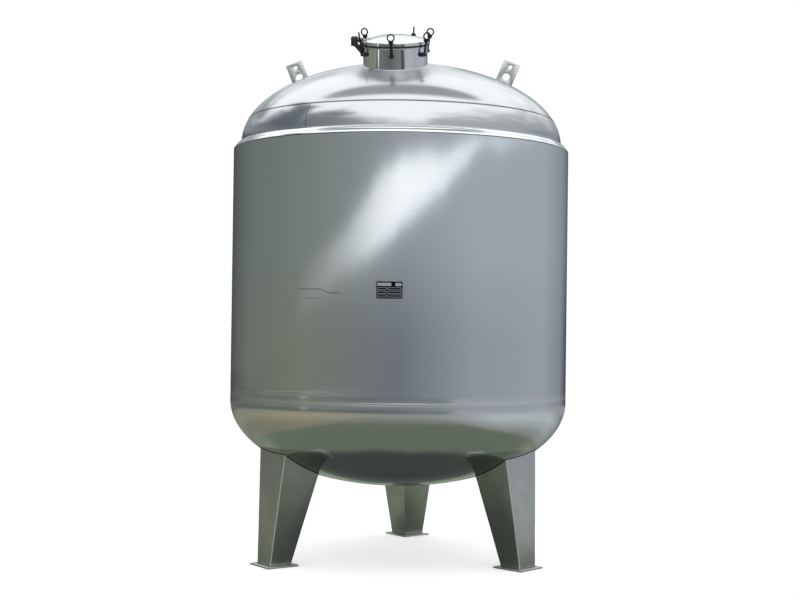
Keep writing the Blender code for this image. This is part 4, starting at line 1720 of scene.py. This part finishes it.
# A post: its first and last degree, nearest and farthest metre, tone, and how soft its sides are in degrees.
POSTS = ((-65.0, -60.5, 11.5, 12.5, "#ffffff", 0.7), (19.0, 31.5, 8.0, 8.8, "#3a4242", 2.4))


def azimuth_stops(degrees: Stops) -> list[tuple[float, object]]:
    """Turns stops at degrees round from the front into a ramp's positions."""
    return [((angle + 180) / 360, value) for angle, value in degrees]


def bearing(node: Adder, place: NodeSocket) -> tuple[NodeSocket, NodeSocket, NodeSocket, Node, Node]:
    """Splits a place or a direction, and finds which way round from the front it lies.

    Args:
        node: adds a node.
        place: the place or direction.

    Returns:
        Its x, y and z, and its angle in radians and as a share of a turn that starts behind the tank.
    """
    x, y, z = node("SeparateXYZ", (place,)).outputs
    turn = node("Math", (x, node("Math", (y, -1.0), operation="MULTIPLY")), operation="ARCTAN2")
    return x, y, z, turn, node("MapRange", (turn, -pi, pi))


@dataclass
class Studio:
    """The camera, the pale floor, the white room and the surroundings that the bare steel mirrors."""

    camera_place: tuple[float, float, float] = (-0.1282, -9.0897, 1.5746)
    camera_pan: float = -0.0147
    camera_tilt: float = 0.0117
    camera_roll: float = 0.0129
    lens: float = 61.875
    sensor: float = 36.0
    floor_radius: float = 9.0
    floor_drop: float = 0.0004
    ground_radius: float = 14.0
    ground_drop: float = 0.002
    side_edge: tuple[float, float] = (1.25, 1.8)
    side_shift: float = 0.75
    lit_edge: tuple[float, float] = (2.3, 3.2)
    pale_edge: tuple[float, float] = (2.1, 1.4)
    paving_edge: tuple[float, float] = (6.4, 7.4)
    paving_light: float = 1.55
    room_light: float = 1.02
    cloud_light: tuple[float, ...] = (1.64, 1.7, 1.74, 1.0)
    sky_light: tuple[float, ...] = (1.5, 1.56, 1.56, 1.0)
    beam_half: tuple[float, float] = (0.54, 0.21)
    beam_front: float = 0.1

    def build(self) -> None:
        """Sets the camera, the floor, the mirrored ground and the light."""
        self.build_camera()
        self.build_floor()
        self.build_ground()
        self.build_world()
        bpy.context.scene.view_settings.view_transform = "Standard"

    def build_camera(self) -> None:
        """Stands the camera where the photograph's stood."""
        camera = bpy.data.cameras.new("camera")
        camera.lens = self.lens
        camera.sensor_width = self.sensor
        obj = bpy.data.objects.new("camera", camera)
        obj.matrix_world = (
            Matrix.Translation(self.camera_place)
            @ Matrix.Rotation(self.camera_pan, 4, "Z")
            @ Matrix.Rotation(pi / 2 + self.camera_tilt, 4, "X")
            @ Matrix.Rotation(self.camera_roll, 4, "Z")
        )
        bpy.context.collection.objects.link(obj)
        bpy.context.scene.camera = obj

    def disc(self, name: str, radius: float, drop: float, material: Material) -> Object:
        """Adds a level disc for the stage.

        Args:
            name: its name.
            radius: its radius.
            drop: how far under the floor's level it lies.
            material: what it is made of.

        Returns:
            The disc.
        """
        deselect_all()
        middle = (0, 0, -drop)
        bpy.ops.mesh.primitive_circle_add(vertices=96, radius=radius, fill_type="NGON", location=middle)
        obj = named(name)
        bpy.ops.object.transform_apply(location=True)
        obj.data.materials.append(material)
        return obj

    def build_floor(self) -> None:
        """Lays a pale floor that fades into the white room."""
        made, node, place = blank_material("pale_studio_floor")
        radius = node("VectorMath", (place,), operation="LENGTH")
        look = {
            "Base Color": (0.95, 0.95, 0.95, 1.0),
            "Roughness": 0.9,
            "Emission Color": (1.0, 1.0, 1.0, 1.0),
            "Emission Strength": 0.45,
            "Alpha": node("MapRange", (radius, 1.1, 2.2, 1.0, 0.0), **SMOOTH),
        }
        plug(made.node_tree.nodes["Principled BSDF"], look)
        self.disc("studio_floor", self.floor_radius, self.floor_drop, made).visible_glossy = False

    def build_ground(self) -> None:
        """Lays the yard that only mirrored rays see: the tank's painted shadow under it, then grass and
        concrete.
        """
        made, node, place = blank_material("mirrored_yard")
        nodes = made.node_tree.nodes
        nodes.remove(nodes["Principled BSDF"])
        shaken = node("Math", (node("TexNoise", (place, 1.1, 3.0)), 0.5), operation="SUBTRACT")
        radius = node("VectorMath", (place,), operation="LENGTH")
        radius = node("Math", (shaken, 0.3, radius), operation="MULTIPLY_ADD")
        x, y, _, turn, share = bearing(node, place)
        # On both sides the concrete comes nearer to the tank.
        aside = node("Math", (x,), operation="ABSOLUTE")
        nearer = node("MapRange", (aside, *self.side_edge, 0.0, self.side_shift), **SMOOTH)
        near_radius = node("Math", (radius, nearer), operation="ADD")
        out = node("Math", (near_radius, self.ground_radius), operation="DIVIDE")
        stops = [(metres / self.ground_radius, tone) for metres, tone in GROUND_RINGS]
        rings = node("ValToRGB", (out,), stops=stops)
        far = node("MapRange", (near_radius, *self.lit_edge))
        sides = node("ValToRGB", (share,), stops=azimuth_stops(GROUND_SIDES))
        lit = node("Mix", (far, "#bcbcbc", sides), **COLOURS)
        # Behind the tank the ground near it is paler: painted light.
        behind = node("MapRange", (y, 0.0, 0.9, 0.0, 1.1), **SMOOTH)
        close = node("MapRange", (radius, *self.pale_edge), **SMOOTH)
        shade = node("Math", (behind, close, 2.0), operation="MULTIPLY_ADD")
        ground = node("VectorMath", (node("Mix", (1.0, rings, lit), **TINT), shade), operation="SCALE")
        # The far yard, which the neck mirrors: grey-green on the left, paler paving on the right.
        paving = node("ValToRGB", (share,), stops=azimuth_stops(PAVING))
        for first, last, near, distant, tone, soft in POSTS:
            half = (last - first) / 2
            across = node("Math", (turn, radians((first + last) / 2)), operation="SUBTRACT")
            across = node("Math", (across,), operation="ABSOLUTE")
            post = node("MapRange", (across, radians(half + soft), radians(half - soft)))
            for start, full in ((near - 0.5, near), (distant + 0.5, distant)):
                post = node("Math", (post, node("MapRange", (radius, start, full))), operation="MULTIPLY")
            paving = node("Mix", (post, paving, tone), **COLOURS)
        paving = node("VectorMath", (paving, self.paving_light), operation="SCALE")
        yard = node("MapRange", (radius, *self.paving_edge))
        glow = node("Emission", (node("Mix", (yard, ground, paving), **COLOURS), 1.0))
        plug(nodes["Material Output"], (glow,))
        made.cycles.emission_sampling = "NONE"
        disc = self.disc("mirrored_ground", self.ground_radius, self.ground_drop, made)
        for ray in ("camera", "diffuse", "shadow", "transmission", "volume_scatter"):
            setattr(disc, f"visible_{ray}", False)

    def build_world(self) -> None:
        """Makes the room white, and gives mirrored rays a soft outdoor sky with a low bright cloud."""
        scene = bpy.context.scene
        world = scene.world or bpy.data.worlds.new("studio")
        scene.world = world
        world.use_nodes = True
        world.cycles.sampling_method = "NONE"
        world.node_tree.nodes.clear()
        node = partial(add_node, world.node_tree)
        way = node("TexCoord").outputs["Generated"]
        _, y, z, turn, share = bearing(node, way)
        rise = node("Math", (node("Math", (z,), operation="ARCSINE"), 180 / pi), operation="MULTIPLY")
        tones = {name: node("ValToRGB", (share,), stops=azimuth_stops(SKY[name])) for name in SKY}
        upper = node("MapRange", (rise, -1.5, 3.5), **SMOOTH)
        horizon = node("Mix", (upper, tones["low_horizon"], tones["high_horizon"]), **COLOURS)
        # Paths and hedges lie as level streaks under the horizon on the left.
        level = node("Mapping", {"Vector": way, "Scale": (0.22, 0.22, 34.0)})
        paths = node("MapRange", (node("TexNoise", (level, 3.4, 1.5)), 0.38, 0.64, 0.74, 1.42), **SMOOTH)
        low, left = node("MapRange", (rise, -1.8, -3.2)), node("MapRange", (turn, radians(-15), radians(-50)))
        paths = node("Mix", (node("Math", (low, left), operation="MULTIPLY"), 1.0, paths))
        horizon = node("VectorMath", (horizon, paths), operation="SCALE")
        # The bright cloud's edge wanders by about a quarter of a degree.
        centre = node("Math", (tones["cloud_height"], 10.0), operation="MULTIPLY")
        away = node("Math", (node("Math", (rise, centre), operation="SUBTRACT"),), operation="ABSOLUTE")
        drawn_out = node("Mapping", {"Vector": way, "Scale": (0.22, 0.22, 2.2)})
        ragged = node("Math", (node("TexNoise", (drawn_out, 11.0, 2.5)), 0.5), operation="SUBTRACT")
        away = node("Math", (ragged, 0.95, away), operation="MULTIPLY_ADD")
        away = node("Math", (away, tones["cloud_depth"]), operation="DIVIDE")
        cloud = node("MapRange", (away, 2.9, 1.3), **SMOOTH)
        cloud = node("Math", (cloud, tones["cloud_share"]), operation="MULTIPLY")
        low_sky = node("Mix", (cloud, horizon, self.cloud_light), **COLOURS)
        # Over it hangs haze, whose lower edge drifts with the clouds.
        stretched = node("Mapping", {"Vector": way, "Scale": (1.0, 1.0, 2.4)})
        clouds = node("MapRange", (node("TexNoise", (stretched, 3.2, 4.0, 0.55)), 0.38, 0.62, -7.0, 7.0))
        drift = node("Math", (rise, clouds), operation="ADD")
        drift = node("Math", (tones["haze_height"], 40.0, drift), operation="MULTIPLY_ADD")
        drift = node("Math", (drift, 20.0), operation="SUBTRACT")
        haze = node("MapRange", (drift, 14.0, 44.0), **SMOOTH)
        sky = node("Mix", (haze, tones["haze"], self.sky_light), **COLOURS)
        # A dim hall on the left, seen low in the knuckle.
        roof = node("MapRange", (drift, 44.0, 38.0), **SMOOTH)
        hall = node("Math", (tones["hall"], roof), operation="MULTIPLY")
        sky = node("Mix", (hall, sky, "#767e84"), **COLOURS)
        # A beam overhead, whose long soft shape lies across the crown.
        wide, deep = self.beam_half
        middle = (0.0, -self.beam_front / deep, 0.0)
        beam = node("Mapping", {"Vector": way, "Scale": (1 / wide, 1 / deep, 0.0), "Location": middle})
        beam = node("VectorMath", (beam,), operation="LENGTH")
        beam = node("MapRange", (beam, 1.05, 0.86), **SMOOTH)
        beam = node("Math", (beam, node("MapRange", (z, 0.6, 0.7))), operation="MULTIPLY")
        sky = node("Mix", (beam, sky, "#b4bcc1"), **COLOURS)
        # Behind the tank the sky is darker near the ground, which draws the head's outline.
        back = node("Math", (y, 3.0), operation="MULTIPLY", use_clamp=True)
        dim = node("MapRange", (rise, 18.0, 12.0, 0.0, 0.75), **SMOOTH)
        sky = node("Mix", (node("Math", (dim, back), operation="MULTIPLY"), sky, "#9aa1a5"), **COLOURS)
        sky = node("Mix", (node("MapRange", (rise, 8.8, 11.0), **SMOOTH), low_sky, sky), **COLOURS)
        mirrored, room = node("Background", (sky, 1.0)), node("Background", ((1, 1, 1, 1), self.room_light))
        glossy = node("LightPath").outputs["Is Glossy Ray"]
        node("OutputWorld", (node("MixShader", (glossy, room, mirrored)),))


def main() -> None:
    """Builds the tank's sub-assemblies in order."""
    logging.basicConfig(level=logging.INFO, format="%(name)s: %(message)s")
    manway = Manway()
    for assembly in (InsulationJacket(), manway, SwingBolts(manway), Lugs(), Legs(), DataPlate(), Studio()):
        log.info("building %s", type(assembly).__name__)
        assembly.build()
    Vessel().build(manway.seat, manway.neck_radius)


if __name__ == "__main__":
    main()
